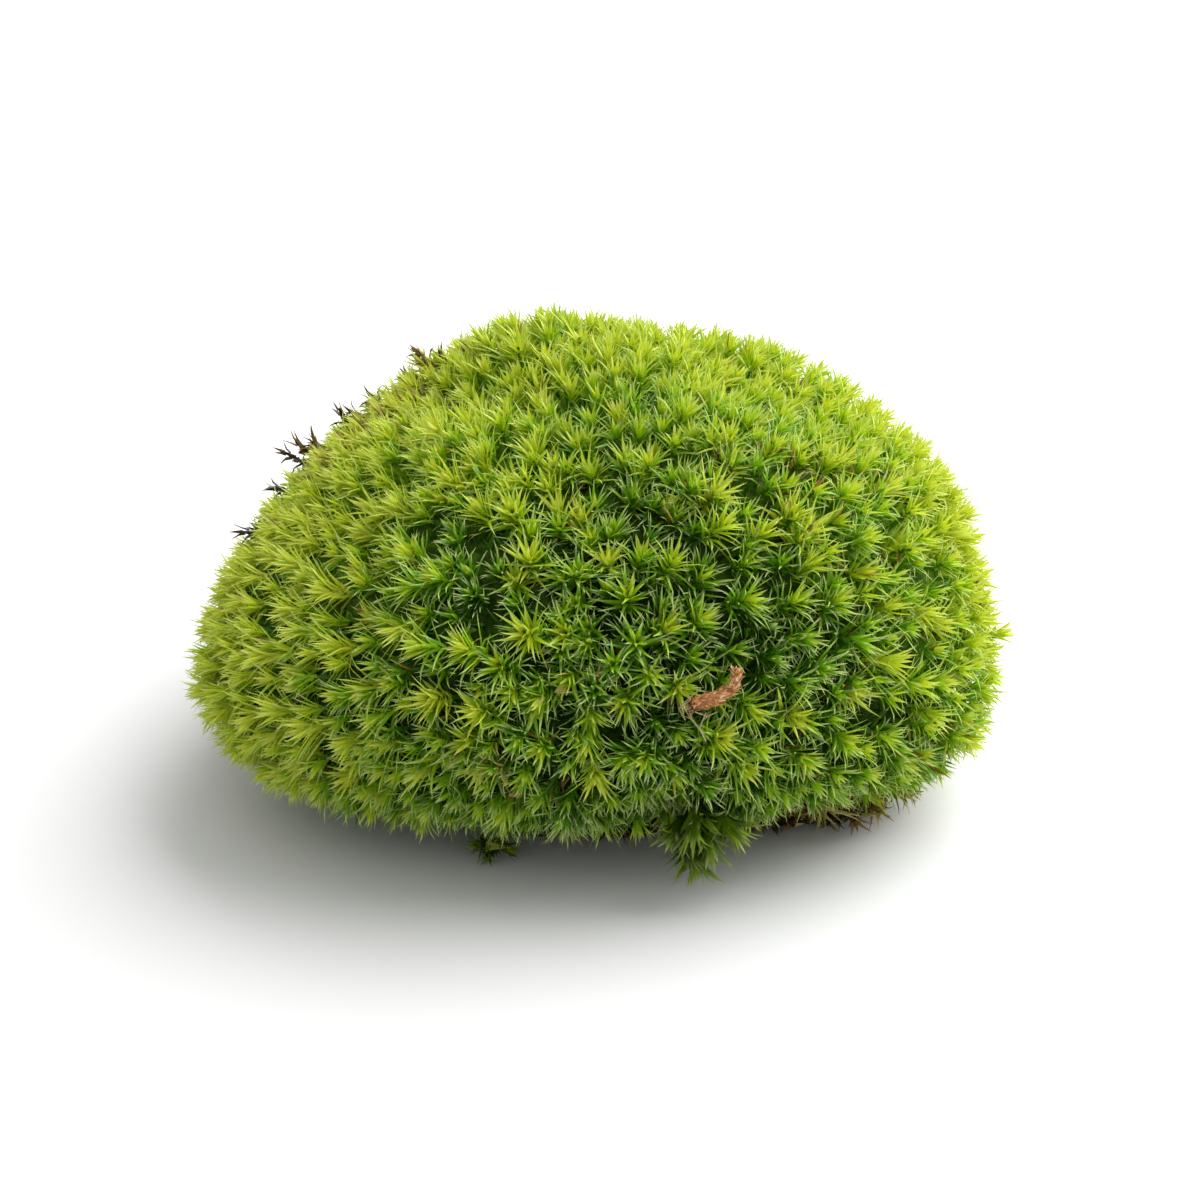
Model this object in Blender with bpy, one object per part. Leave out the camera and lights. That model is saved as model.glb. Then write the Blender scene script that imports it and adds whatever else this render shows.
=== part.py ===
"""A clump of cushion moss, lifted with its brown foot and set down on a flat surface.

The clump is a bun of leafy shoots that grew together. Each shoot shows at the surface as
one spike, so the living cushion is one spiky body. Under it lies the brown foot of dead
stems and rhizoids, cut off flat. A tuft has sagged out of the front edge, a small sprig
lies flat under it, and a curled dry twig tip rests on the front of the cushion.

Units are metres, +Z is up. The origin is the middle of the flat underside. The front of
the clump faces -Y, and its length runs along X.
"""

import math

import bmesh
import bpy
import numpy as np
from mathutils import Vector

MM = 0.001

# The bun: a rounded box-like dome about an inner centre, from which all shoots radiate
BUN_CENTRE = np.array([-0.9, 0.0, 23.5]) * MM
BUN_HALF_WIDTH = 57.5 * MM
BUN_HALF_DEPTH = 49.0 * MM
BUN_RISE = 38.2 * MM
BUN_DROP = 22.0 * MM
PLAN_POWER = 2.35
DOME_POWER = 2.2
UNDERSIDE_POWER = 2.6

# Where the bun swells or is slack: azimuth, elevation and spread in degrees, then height
BUN_SWELLS = (
    (180, 32, 36, -9.4 * MM),
    (0, 32, 36, -1.6 * MM),
    (188, 0, 26, 3.0 * MM),
    (352, 0, 26, 1.6 * MM),
    (208, -18, 20, 2.4 * MM),
    (335, -26, 22, 4.4 * MM),
    (90, 45, 34, 2.4 * MM),
    (270, 20, 34, -2.2 * MM),
)

# Hollows that leave room for the loose pieces: the tuft, the bare foot and the twig tip
TUFT_HOLLOW = (286, -17, 10, -3.9 * MM)
FOOT_HOLLOW = (314, -22, 10, -4.2 * MM)
TWIG_HOLLOW = (289, 11.3, 7, -1.5 * MM)

# Soft humps and dips of the surface, where groups of shoots stand a little apart
WAVE_SEED = 62
WAVE_COUNT = 14
WAVE_HEIGHT = 0.45 * MM
WAVE_TURNS = 7.0

# The shoots: how many, how deep the gaps between them are, and how uneven their tips
SHOOT_COUNT = 760
SHOOT_SEED = 11
SHOOT_GAP_DEPTH = 3.4 * MM
SHOOT_UNEVENNESS = 0.5 * MM
CANDIDATES_PER_SHOOT = 14
# Below this elevation the spikes fade out into the smooth underside
SPIKES_FROM = -34.0
SPIKES_FULL_AT = -22.0
CUSHION_CLEARANCE = 2.6 * MM

# Dead shoots that stick out of the upper left rim: azimuth, elevation and extra length
DEAD_SHOOTS = (
    (163, 5, 2.6 * MM),
    (168, 16, 3.4 * MM),
    (158, 20, 3.0 * MM),
    (150, 26, 2.2 * MM),
    (143, 30, 2.4 * MM),
    (138, 35, 2.0 * MM),
    (134, 40, 2.0 * MM),
)

# The brown foot: an oval slab with a domed top and a rough side
FOOT_HALF_LENGTH = 40.0 * MM
FOOT_HALF_DEPTH = 28.5 * MM
FOOT_RIM_HEIGHT = 6.2 * MM
FOOT_MIDDLE_HEIGHT = 10.5 * MM
FOOT_BARE_AZIMUTH = -28.0
FOOT_BARE_SPREAD = 18.0
FOOT_BARE_REACH = 8.4 * MM
FOOT_BARE_RISE = 2.4 * MM
FOOT_SIDES = 104
FOOT_ROUGHNESS = 2.2 * MM
FOOT_SEED = 23
# Rings up the foot's side, as shares of its outline, its rim height and its roughness
FOOT_SIDE_RINGS = (
    (0.93, 0.00, 0.5),
    (1.00, 0.16, 1.0),
    (0.985, 0.42, 1.0),
    (0.95, 0.74, 1.0),
    (0.88, 1.00, 0.4),
)
# Rings over its domed top, as shares of the outline
FOOT_DOME_RINGS = (0.62, 0.34)

# The tuft that hangs from the front edge nearly down to the surface
TUFT_CENTRE = np.array([12.8, -43.6, 8.3]) * MM
TUFT_HALF_SIZE = np.array([6.4, 4.2, 6.6]) * MM
TUFT_SHOOTS = 46
TUFT_GAP_DEPTH = 2.0 * MM
TUFT_SEED = 31

# The flat sprig under the front edge
SPRIG_CENTRE = np.array([-14.8, -33.6, 1.7]) * MM
SPRIG_HALF_SIZE = np.array([4.8, 3.6, 1.6]) * MM
SPRIG_SHOOTS = 26
SPRIG_GAP_DEPTH = 0.9 * MM
SPRIG_SEED = 37

# The dry twig tip: its middle line on the cushion (azimuth, elevation) and its half width
TWIG_LINE = (
    (284.6, 10.0, 0.80 * MM),
    (286.1, 10.0, 1.00 * MM),
    (287.4, 10.2, 1.00 * MM),
    (288.8, 10.3, 0.95 * MM),
    (290.3, 10.7, 0.90 * MM),
    (291.5, 11.4, 0.80 * MM),
    (292.3, 12.4, 0.68 * MM),
    (292.5, 13.6, 0.55 * MM),
    (292.1, 14.8, 0.28 * MM),
)
TWIG_LIFT = 1.5 * MM
TWIG_SCALES = 11
TWIG_SCALE_STEP = 0.13

GAP = 0.45 * MM
SURFACE = 0.15 * MM
GOLDEN_ANGLE = math.pi * (3 - math.sqrt(5))


def clear_scene():
    for thing in list(bpy.data.objects):
        bpy.data.objects.remove(thing, do_unlink=True)


def new_collection(name):
    collection = bpy.data.collections.new(name)
    bpy.context.scene.collection.children.link(collection)
    return collection


def plain_material(name, colour, roughness):
    material = bpy.data.materials.new(name)
    material.use_nodes = True
    shader = material.node_tree.nodes["Principled BSDF"]
    shader.inputs["Base Color"].default_value = (*colour, 1.0)
    shader.inputs["Roughness"].default_value = roughness
    shader.inputs["Metallic"].default_value = 0.0
    return material


def unit_vector(azimuth, elevation):
    """The direction at these angles in degrees, with azimuth from +X towards +Y."""
    turn, rise = math.radians(azimuth), math.radians(elevation)
    level = math.cos(rise)
    return np.array([level * math.cos(turn), level * math.sin(turn), math.sin(rise)])


def smooth_step(value, start, end):
    share = np.clip((value - start) / (end - start), 0.0, 1.0)
    return share * share * (3 - 2 * share)


def elevation_of(directions):
    return np.degrees(np.arcsin(np.clip(directions[:, 2], -1.0, 1.0)))


def swell_heights(directions, swells):
    """The sum of round swells, each a bell curve of the angle from its own direction."""
    total = np.zeros(len(directions))
    for azimuth, elevation, spread, height in swells:
        cosine = np.clip(directions @ unit_vector(azimuth, elevation), -1.0, 1.0)
        total += height * np.exp(-((np.degrees(np.arccos(cosine)) / spread) ** 2))
    return total


def wave_heights(directions):
    """A few seeded sine waves through the sphere of directions, for soft humps and dips."""
    rng = np.random.default_rng(WAVE_SEED)
    total = np.zeros(len(directions))
    for _ in range(WAVE_COUNT):
        heading = rng.normal(size=3)
        heading *= WAVE_TURNS * rng.uniform(0.6, 1.4) / np.linalg.norm(heading)
        total += np.sin(directions @ heading + rng.uniform(0, 2 * math.pi))
    return WAVE_HEIGHT * total


def bun_radius(directions):
    """How far the bun's outer surface, at the shoots' tips, lies from its centre."""
    x, y, z = np.abs(directions.T)
    in_dome = directions[:, 2] > 0
    height = np.where(in_dome, BUN_RISE, BUN_DROP)
    power = np.where(in_dome, DOME_POWER, UNDERSIDE_POWER)
    plan = (x / BUN_HALF_WIDTH) ** PLAN_POWER + (y / BUN_HALF_DEPTH) ** PLAN_POWER
    radius = (plan ** (power / PLAN_POWER) + (z / height) ** power) ** (-1 / power)
    hollows = (TUFT_HOLLOW, FOOT_HOLLOW, TWIG_HOLLOW)
    radius += swell_heights(directions, BUN_SWELLS + hollows)
    waves = wave_heights(directions) * smooth_step(elevation_of(directions), -20.0, 0.0)
    return radius + waves


def stop_at_height(directions, radius, centre, height):
    """Shortens each ray that would pass below the given height, which makes a flat floor."""
    down = np.minimum(directions[:, 2], -1e-6)
    reach = (height - centre[2]) / down
    return np.where(directions[:, 2] < 0, np.minimum(radius, reach), radius)


def cushion_radius(directions):
    radius = bun_radius(directions)
    return stop_at_height(directions, radius, BUN_CENTRE, CUSHION_CLEARANCE)


def cushion_gap_depth(directions):
    """The gaps between the shoots fade out towards the underside."""
    return SHOOT_GAP_DEPTH * smooth_step(elevation_of(directions), SPIKES_FROM, SPIKES_FULL_AT)


def ellipsoid_radius(half_size):
    def radius(directions):
        return 1.0 / np.linalg.norm(directions / half_size, axis=1)

    return radius


def golden_directions(count):
    """Directions spread evenly over a sphere: equal steps down and a golden angle round."""
    step = np.arange(count) + 0.5
    height = 1 - 2 * step / count
    level = np.sqrt(1 - height * height)
    turn = GOLDEN_ANGLE * step
    return np.stack([level * np.cos(turn), level * np.sin(turn), height], axis=1)


def even_directions(count, radius_of, spacing_of):
    """Directions whose points lie evenly on the surface, as crowded shoots do.

    Each new one is the candidate that lies furthest from all those already taken.
    """
    directions = golden_directions(count * CANDIDATES_PER_SHOOT)
    points = directions * radius_of(directions)[:, None]
    spacing = spacing_of(directions)
    taken = [0]
    nearest = np.linalg.norm(points - points[0], axis=1) / spacing
    while len(taken) < count:
        pick = int(nearest.argmax())
        taken.append(pick)
        distance = np.linalg.norm(points - points[pick], axis=1) / spacing
        nearest = np.minimum(nearest, distance)
    return directions[taken]


def spiky_body(name, centre, tips, tip_radii, valley_radius_of, collection, material):
    """A closed body with one low pyramid for each tip direction.

    The hull of the tips on a sphere joins neighbours by triangles. Each triangle gets a
    point in its middle, the edges from tip to tip are turned to run between those points,
    and then tips and middles are pushed out to their own distances from the centre.
    """
    form = bmesh.new()
    tip_verts = [form.verts.new(Vector(tip)) for tip in tips]
    bmesh.ops.convex_hull(form, input=form.verts)
    middles = bmesh.ops.poke(form, faces=list(form.faces))["verts"]
    between = [edge for edge in form.edges if not set(middles) & set(edge.verts)]
    bmesh.ops.rotate_edges(form, edges=between, use_ccw=False)
    ways = np.array([vert.co.normalized() for vert in middles])
    place_verts(tip_verts, centre + tips * tip_radii[:, None])
    place_verts(middles, centre + ways * valley_radius_of(ways)[:, None])
    bmesh.ops.recalc_face_normals(form, faces=form.faces)
    return object_from(form, name, collection, material)


def place_verts(verts, places):
    for vert, place in zip(verts, places):
        vert.co = Vector(place)


def object_from(form, name, collection, material):
    mesh = bpy.data.meshes.new(name)
    form.to_mesh(mesh)
    form.free()
    thing = bpy.data.objects.new(name, mesh)
    collection.objects.link(thing)
    if material is not None:
        mesh.materials.append(material)
    return thing


def shoot_spacing(directions):
    """How far apart the shoots stand for their place: wider on the hidden underside."""
    return 1.6 - 0.6 * smooth_step(elevation_of(directions), -38.0, -24.0)


def shoot_tips():
    """Each shoot's direction and the distance of its tip, with the dead ones longer."""
    tips = even_directions(SHOOT_COUNT, cushion_radius, shoot_spacing)
    spiky = cushion_gap_depth(tips) / SHOOT_GAP_DEPTH
    uneven = np.random.default_rng(SHOOT_SEED).uniform(-1, 1, SHOOT_COUNT)
    radii = cushion_radius(tips) + SHOOT_UNEVENNESS * uneven * spiky
    for azimuth, elevation, length in DEAD_SHOOTS:
        radii[(tips @ unit_vector(azimuth, elevation)).argmax()] += length
    return tips, radii


def moss_cushion(collection):
    """The living cushion: all shoots that grew together, as one spiky body."""

    def valley_radius(directions):
        return cushion_radius(directions) - cushion_gap_depth(directions)

    tips, radii = shoot_tips()
    green = plain_material("moss green", (0.13, 0.28, 0.03), 0.7)
    return spiky_body(
        "moss_cushion", BUN_CENTRE, tips, radii, valley_radius, collection, green
    )


def foot_outline(azimuth):
    """The foot's oval, with a bulge at the front right where the moss has left it bare."""
    across = np.cos(azimuth) / FOOT_HALF_LENGTH
    along = np.sin(azimuth) / FOOT_HALF_DEPTH
    oval = 1.0 / np.sqrt(across**2 + along**2)
    return oval + FOOT_BARE_REACH * foot_bareness(azimuth)


def foot_bareness(azimuth):
    off = np.degrees(azimuth) - FOOT_BARE_AZIMUTH
    off = (off + 180.0) % 360.0 - 180.0
    return np.exp(-((off / FOOT_BARE_SPREAD) ** 2))


def rhizoid_mat(clump, cutters):
    """The foot: rings of points from the cut underside up the rough side and over the dome.

    The returned cutter has the same rings, smooth and larger by the gap on every side.
    """
    turn = np.arange(FOOT_SIDES) * 2 * math.pi / FOOT_SIDES
    rim_height = FOOT_RIM_HEIGHT + FOOT_BARE_RISE * foot_bareness(turn)
    rim_share = FOOT_SIDE_RINGS[-1][0]

    def build(name, grow, rough, target, material):
        rng = np.random.default_rng(FOOT_SEED)
        form = bmesh.new()
        loops = []
        for out, up, share in FOOT_SIDE_RINGS:
            notch = rough * share * FOOT_ROUGHNESS * rng.uniform(0, 1, FOOT_SIDES)
            radius = foot_outline(turn) * out - notch + grow
            height = rim_height * up + grow * (2 * up - 1)
            loops.append(ring_of_verts(form, turn, radius, height))
        for out in FOOT_DOME_RINGS:
            radius = foot_outline(turn) * out
            rise = (FOOT_MIDDLE_HEIGHT - rim_height) * (1 - (out / rim_share) ** 2)
            loops.append(ring_of_verts(form, turn, radius, rim_height + rise + grow))
        for lower, upper in zip(loops, loops[1:]):
            bmesh.ops.bridge_loops(form, edges=loop_edges(lower) + loop_edges(upper))
        form.faces.new(loops[0][::-1])
        middle = form.verts.new((0.0, 0.0, FOOT_MIDDLE_HEIGHT + grow))
        for here, there in zip(loops[-1], loops[-1][1:] + loops[-1][:1]):
            form.faces.new((here, there, middle))
        bmesh.ops.recalc_face_normals(form, faces=form.faces)
        return object_from(form, name, target, material)

    brown = plain_material("dead stems and humus", (0.10, 0.055, 0.025), 0.95)
    foot = build("rhizoid_mat", 0.0, 1.0, clump, brown)
    recess = build("foot_recess", GAP, 0.0, cutters, None)
    recess.hide_render = True
    recess.display_type = "WIRE"
    return foot, recess


def ring_of_verts(form, turn, radius, height):
    height = np.broadcast_to(height, turn.shape)
    places = np.stack([radius * np.cos(turn), radius * np.sin(turn), height], axis=1)
    verts = [form.verts.new(Vector(place)) for place in places]
    for here, there in zip(verts, verts[1:] + verts[:1]):
        form.edges.new((here, there))
    return verts


def loop_edges(verts):
    pairs = zip(verts, verts[1:] + verts[:1])
    return [next(e for e in here.link_edges if there in e.verts) for here, there in pairs]


def small_spiky_piece(name, centre, half_size, count, gap_depth, seed, target, material):
    """A spiky ellipsoid that stops just above the surface the clump stands on."""
    outer = ellipsoid_radius(half_size)

    def radius(directions):
        return stop_at_height(directions, outer(directions), centre, SURFACE)

    def even(directions):
        return np.ones(len(directions))

    def valley_radius(directions):
        depth = gap_depth * smooth_step(elevation_of(directions), -75.0, -30.0)
        return radius(directions) - depth

    tips = even_directions(count, outer, even)
    radii = radius(tips) * np.random.default_rng(seed).uniform(0.88, 1.0, count)
    return spiky_body(name, centre, tips, radii, valley_radius, target, material)


def front_tuft(collection):
    green = plain_material("tuft green", (0.12, 0.22, 0.02), 0.7)
    return small_spiky_piece(
        "front_tuft", TUFT_CENTRE, TUFT_HALF_SIZE, TUFT_SHOOTS, TUFT_GAP_DEPTH, TUFT_SEED,
        collection, green,
    )


def stray_sprig(collection):
    green = plain_material("sprig green", (0.08, 0.14, 0.02), 0.7)
    return small_spiky_piece(
        "stray_sprig", SPRIG_CENTRE, SPRIG_HALF_SIZE, SPRIG_SHOOTS, SPRIG_GAP_DEPTH,
        SPRIG_SEED, collection, green,
    )


def dry_twig_tip(collection):
    """A curled twig tip: a bevelled curve whose radius steps in and out at each scale."""
    angles = np.array([point[:2] for point in TWIG_LINE])
    widths = np.array([point[2] for point in TWIG_LINE])
    directions = np.array([unit_vector(*angle) for angle in angles])
    line = BUN_CENTRE + directions * (bun_radius(directions) + TWIG_LIFT)[:, None]
    share = np.linspace(0, len(line) - 1, 2 * TWIG_SCALES)
    places = np.stack([np.interp(share, range(len(line)), axis) for axis in line.T], axis=1)
    ledge = 1 + TWIG_SCALE_STEP * np.where(np.arange(len(share)) % 2, -1, 1)
    radii = np.interp(share, range(len(line)), widths) * ledge

    curve = bpy.data.curves.new("dry_twig_tip", "CURVE")
    curve.dimensions = "3D"
    curve.bevel_depth = 1.0
    curve.bevel_resolution = 2
    curve.use_fill_caps = True
    spline = curve.splines.new("POLY")
    spline.points.add(len(places) - 1)
    for point, place, radius in zip(spline.points, places, radii):
        point.co = (*place, 1.0)
        point.radius = radius
    guide = bpy.data.objects.new("twig_guide", curve)
    collection.objects.link(guide)
    graph = bpy.context.evaluated_depsgraph_get()
    mesh = bpy.data.meshes.new_from_object(guide.evaluated_get(graph))
    form = bmesh.new()
    form.from_mesh(mesh)
    bmesh.ops.remove_doubles(form, verts=form.verts, dist=0.01 * MM)
    bmesh.ops.recalc_face_normals(form, faces=form.faces)
    bpy.data.objects.remove(guide, do_unlink=True)
    bpy.data.meshes.remove(mesh)
    rust = plain_material("dry twig scales", (0.42, 0.17, 0.05), 0.85)
    return object_from(form, "dry_twig_tip", collection, rust)


def main():
    clear_scene()
    clump = new_collection("moss clump")
    cutters = new_collection("cutters")
    cushion = moss_cushion(clump)
    _, recess = rhizoid_mat(clump, cutters)
    cut = cushion.modifiers.new("room for the foot", "BOOLEAN")
    cut.operation = "DIFFERENCE"
    cut.object = recess
    front_tuft(clump)
    stray_sprig(clump)
    dry_twig_tip(clump)


main()
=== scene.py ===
# %% [markdown]
# # A clump of cushion moss
#
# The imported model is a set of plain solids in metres: the spiky cushion, its brown foot, a tuft
# that sags out in front, a stray sprig and a dry twig tip. This lesson dresses them. Nearly
# everything you see on moss is one shape, a tapering leaf a few millimetres long, so the lesson
# makes one good leaf and then says where some fifty thousand of them stand.

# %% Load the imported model
import math

import bpy
import numpy as np
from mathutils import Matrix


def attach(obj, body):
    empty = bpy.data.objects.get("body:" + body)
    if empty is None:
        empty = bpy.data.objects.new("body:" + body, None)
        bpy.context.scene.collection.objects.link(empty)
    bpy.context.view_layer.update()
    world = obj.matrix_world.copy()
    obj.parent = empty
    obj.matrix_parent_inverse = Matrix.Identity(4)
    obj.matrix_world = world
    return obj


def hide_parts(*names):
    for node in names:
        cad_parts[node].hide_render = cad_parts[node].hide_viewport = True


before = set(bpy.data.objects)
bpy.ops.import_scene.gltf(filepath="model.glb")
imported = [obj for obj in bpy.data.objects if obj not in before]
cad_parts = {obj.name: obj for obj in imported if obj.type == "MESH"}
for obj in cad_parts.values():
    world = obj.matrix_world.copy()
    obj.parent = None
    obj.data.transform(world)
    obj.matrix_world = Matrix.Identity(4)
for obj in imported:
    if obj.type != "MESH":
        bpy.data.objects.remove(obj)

MM = 0.001
GOLDEN_ANGLE = math.pi * (3 - math.sqrt(5))
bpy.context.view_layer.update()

# %% [markdown]
# ## The camera
#
# The photo was taken from the front and from above. A long lens keeps the clump from bulging
# towards the viewer. The camera aims at a point on the clump's middle line.

# %% Camera
CAMERA_ELEVATION = math.radians(26)
CAMERA_DISTANCE = 330 * MM
AIM_HEIGHT = 24 * MM
LENS = 67.6

camera = bpy.data.objects.new("camera", bpy.data.cameras.new("camera"))
bpy.context.scene.collection.objects.link(camera)
camera.data.lens = LENS
camera.data.clip_start = 10 * MM
camera.data.clip_end = 20.0
camera.location = (
    0.0,
    -CAMERA_DISTANCE * math.cos(CAMERA_ELEVATION),
    AIM_HEIGHT + CAMERA_DISTANCE * math.sin(CAMERA_ELEVATION),
)
camera.rotation_euler = (math.pi / 2 - CAMERA_ELEVATION, 0.0, 0.0)
bpy.context.scene.camera = camera
bpy.context.scene.view_settings.view_transform = "Standard"
print("camera at", [round(value / MM) for value in camera.location], "mm")

# %% [markdown]
# ## Small tools for materials
#
# Colours are written as the hex values that a colour picker shows. Those are sRGB, and the
# shaders work with linear light, so one function turns each colour. Another adds a node, sets
# its properties, and sets or links its inputs.


# %% Colour and node helpers
def linear(hex_colour):
    """A hex sRGB colour as linear RGBA: the straight toe below 0.04045, the 2.4 curve above."""
    parts = [int(hex_colour[i : i + 2], 16) / 255 for i in (1, 3, 5)]
    curve = [v / 12.92 if v <= 0.04045 else ((v + 0.055) / 1.055) ** 2.4 for v in parts]
    return (*curve, 1.0)


def add(tree, kind, inputs=None, stops=None, **settings):
    """Adds a node. An input is a value, a socket to link, or a node whose first output is linked.

    Settings are the node's own properties, and stops fill a colour ramp.
    """
    node = tree.nodes.new(kind)
    for name, value in settings.items():
        setattr(node, name, value)
    for name, value in (inputs or {}).items():
        if isinstance(value, bpy.types.Node):
            value = value.outputs[0]
        if isinstance(value, bpy.types.NodeSocket):
            tree.links.new(value, node.inputs[name])
        else:
            node.inputs[name].default_value = value
    for index, (place, colour) in enumerate(stops or ()):
        elements = node.color_ramp.elements
        element = elements[index] if index < 2 else elements.new(place)
        element.position = place
        element.color = linear(colour)
    return node


def new_material(name):
    """A new material with no nodes yet, and its node tree."""
    material = bpy.data.materials.new(name)
    material.use_nodes = True
    material.node_tree.nodes.clear()
    return material, material.node_tree


# %% [markdown]
# ## Light and floor
#
# The clump stands on a white surface in soft light that comes from above, from the right and
# from behind. That is what makes the rims glow: the leaves are one cell thick and the light goes
# through them. A large softbox does that work, and a white world fills in. The world is brighter
# overhead than at the horizon, so that the shadow is deepest where the clump ends. The surface
# is matt white paper, so it shows no gloss and no mirror image of the clump.

# %% World
HORIZON_STRENGTH, ZENITH_STRENGTH = 0.21, 1.04

world = bpy.data.worlds.new("studio")
world.use_nodes = True
tree = world.node_tree
tree.nodes.clear()
direction = add(tree, "ShaderNodeTexCoord").outputs["Generated"]
height = add(tree, "ShaderNodeSeparateXYZ", {"Vector": direction}).outputs["Z"]
strength = add(
    tree, "ShaderNodeMapRange",
    {"Value": height, "To Min": HORIZON_STRENGTH, "To Max": ZENITH_STRENGTH},
)
sky = add(tree, "ShaderNodeBackground", {"Color": linear("#FFFFFF"), "Strength": strength})
add(tree, "ShaderNodeOutputWorld", {"Surface": sky})
bpy.context.scene.world = world

# %% Softbox
SOFTBOX_SIDE = 1130 * MM
SOFTBOX_PLACE = np.array([495, 300, 545]) * MM
SOFTBOX_WATTS = 17.6

softbox = bpy.data.objects.new("softbox", bpy.data.lights.new("softbox", "AREA"))
bpy.context.scene.collection.objects.link(softbox)
softbox.data.shape = "SQUARE"
softbox.data.size = SOFTBOX_SIDE
softbox.data.energy = SOFTBOX_WATTS
softbox.location = SOFTBOX_PLACE
towards = np.array([0.0, 0.0, AIM_HEIGHT]) - SOFTBOX_PLACE
softbox.rotation_euler = (
    math.atan2(math.hypot(towards[0], towards[1]), -towards[2]),
    0.0,
    math.atan2(towards[1], towards[0]) - math.pi / 2,
)

# %% Floor of white paper
FLOOR_HALF_SIDE = 6.0
PAPER_WHITE = "#DDDDDD"
PAPER_ROUGHNESS = 0.8

floor_mesh = bpy.data.meshes.new("floor")
corners = [
    (x * FLOOR_HALF_SIDE, y * FLOOR_HALF_SIDE, 0.0) for x, y in ((-1, -1), (1, -1), (1, 1), (-1, 1))
]
floor_mesh.from_pydata(corners, [], [(0, 1, 2, 3)])
floor = bpy.data.objects.new("floor", floor_mesh)
bpy.context.scene.collection.objects.link(floor)
paper, tree = new_material("matt white paper")
paper_shader = add(
    tree, "ShaderNodeBsdfPrincipled",
    {"Base Color": linear(PAPER_WHITE), "Roughness": PAPER_ROUGHNESS},
)
add(tree, "ShaderNodeOutputMaterial", {"Surface": paper_shader})
floor_mesh.materials.append(paper)

# %% [markdown]
# ## Where the shoots stand
#
# The cushion's solid has one low spike for each shoot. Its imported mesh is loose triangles, so
# equal corners are merged first. A corner that stands well out from the mean of its neighbours
# is the tip of a spike, and that is where a shoot ends. Where two of them nearly touch, the
# further one counts. The corners deep between the spikes will carry short shoots later on.

# %% Small tools for points
def unit(vectors):
    """Vectors divided by their lengths."""
    return vectors / np.linalg.norm(vectors, axis=-1, keepdims=True)


def round_points(distance, turn, height):
    """Points at a distance from the upright line through 0, an angle round it, and a height."""
    return np.stack([distance * np.cos(turn), distance * np.sin(turn), height], axis=-1)


def ramp(values, start, end):
    """0 up to the start, 1 from the end on, and a straight rise between. The end may be lower."""
    return np.clip((values - start) / (end - start), 0, 1)


def distances(points):
    """How far each point is from each other one, and endlessly far from itself."""
    apart = np.linalg.norm(points[:, None] - points[None], axis=2)
    apart[np.diag_indices(len(points))] = np.inf
    return apart


# %% Read the tips from the cushion's solid
BUN_CENTRE = np.array([-0.9, 0.0, 23.5]) * MM
LEAST_SPIKE = 1.2 * MM
LEAST_APART = 2.8 * MM
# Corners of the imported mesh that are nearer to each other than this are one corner
WELD = 0.01 * MM


def welded(node):
    """A CAD node's corners, each once, and the pairs of them that its edges join."""
    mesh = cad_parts[node].data
    corners = np.empty(len(mesh.vertices) * 3)
    mesh.vertices.foreach_get("co", corners)
    edges = np.empty(len(mesh.edges) * 2, int)
    mesh.edges.foreach_get("vertices", edges)
    keys = np.round(corners.reshape(-1, 3) / WELD).astype(int)
    _, first, same = np.unique(keys, axis=0, return_index=True, return_inverse=True)
    pairs = np.unique(np.sort(same.reshape(-1)[edges].reshape(-1, 2), axis=1), axis=0)
    return corners.reshape(-1, 3)[first], pairs[pairs[:, 0] != pairs[:, 1]]


def tips_and_hollows(node, centre):
    """Corners that stand out from the mean of those joined to them, and all other corners."""
    points, edges = welded(node)
    total = np.zeros(points.shape)
    joined_to = np.zeros((len(points), 1))
    for here, there in (edges.T, edges.T[::-1]):
        np.add.at(total, here, points[there])
        np.add.at(joined_to, here, 1)
    out = np.sum((points - total / joined_to) * unit(points - centre), axis=1)
    tips, hollows = points[out > LEAST_SPIKE], points[out <= LEAST_SPIKE]
    reach = np.linalg.norm(tips - centre, axis=1)
    beaten = (distances(tips) < LEAST_APART) & (reach[None] > reach[:, None])
    return tips[~beaten.any(axis=1)], hollows


tips, hollows = tips_and_hollows("moss_cushion", BUN_CENTRE)
ways = unit(tips - BUN_CENTRE)
apart = distances(tips)
print(len(tips), "shoots,", round(float(np.median(apart.min(axis=1))) / MM, 2), "mm apart")

# %% [markdown]
# ## One leaf
#
# A leaf of this moss is a narrow keeled blade: widest near its base, it tapers evenly to a hair
# point. It could be a flat strip, but a strip has no inside, so it exports badly and catches no
# light along a keel. A closed blade with a flat triangular section costs 16 faces, and it has
# a lit face, a shaded keel and a sharp margin.

# %% A blade, for any number of leaves at once
RING_SHARES = np.array([0.0, 0.34, 0.7])
RING_WIDTHS = np.array([1.5, 1.0, 0.5])
KEEL_SHARE = 0.34
# Painted highlight and shade: each blade's two margins are a little lighter and its keel a little
# darker
EDGE_HIGHLIGHT_KEEL_SHADE = 0.03
TONE_LIMITS = (0.005, 0.995)


def walls(rings, sides):
    """Triangles between rings of corners: two for each side, and each ring closes round."""
    here = np.arange(sides)
    first = np.arange(rings - 1)[:, None] * sides
    a, b = first + here, first + (here + 1) % sides
    c, d = b + sides, a + sides
    return np.stack([a, b, c, a, c, d], axis=-1).reshape(-1, 3)


def blade_faces():
    """The triangles of one blade: a base cap, three sides between its rings, and a tip."""
    last = 3 * (len(RING_SHARES) - 1)
    tip = [(last + side, last + (side + 1) % 3, last + 3) for side in range(3)]
    return np.concatenate([[(0, 2, 1)], walls(len(RING_SHARES), 3), tip])


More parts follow.
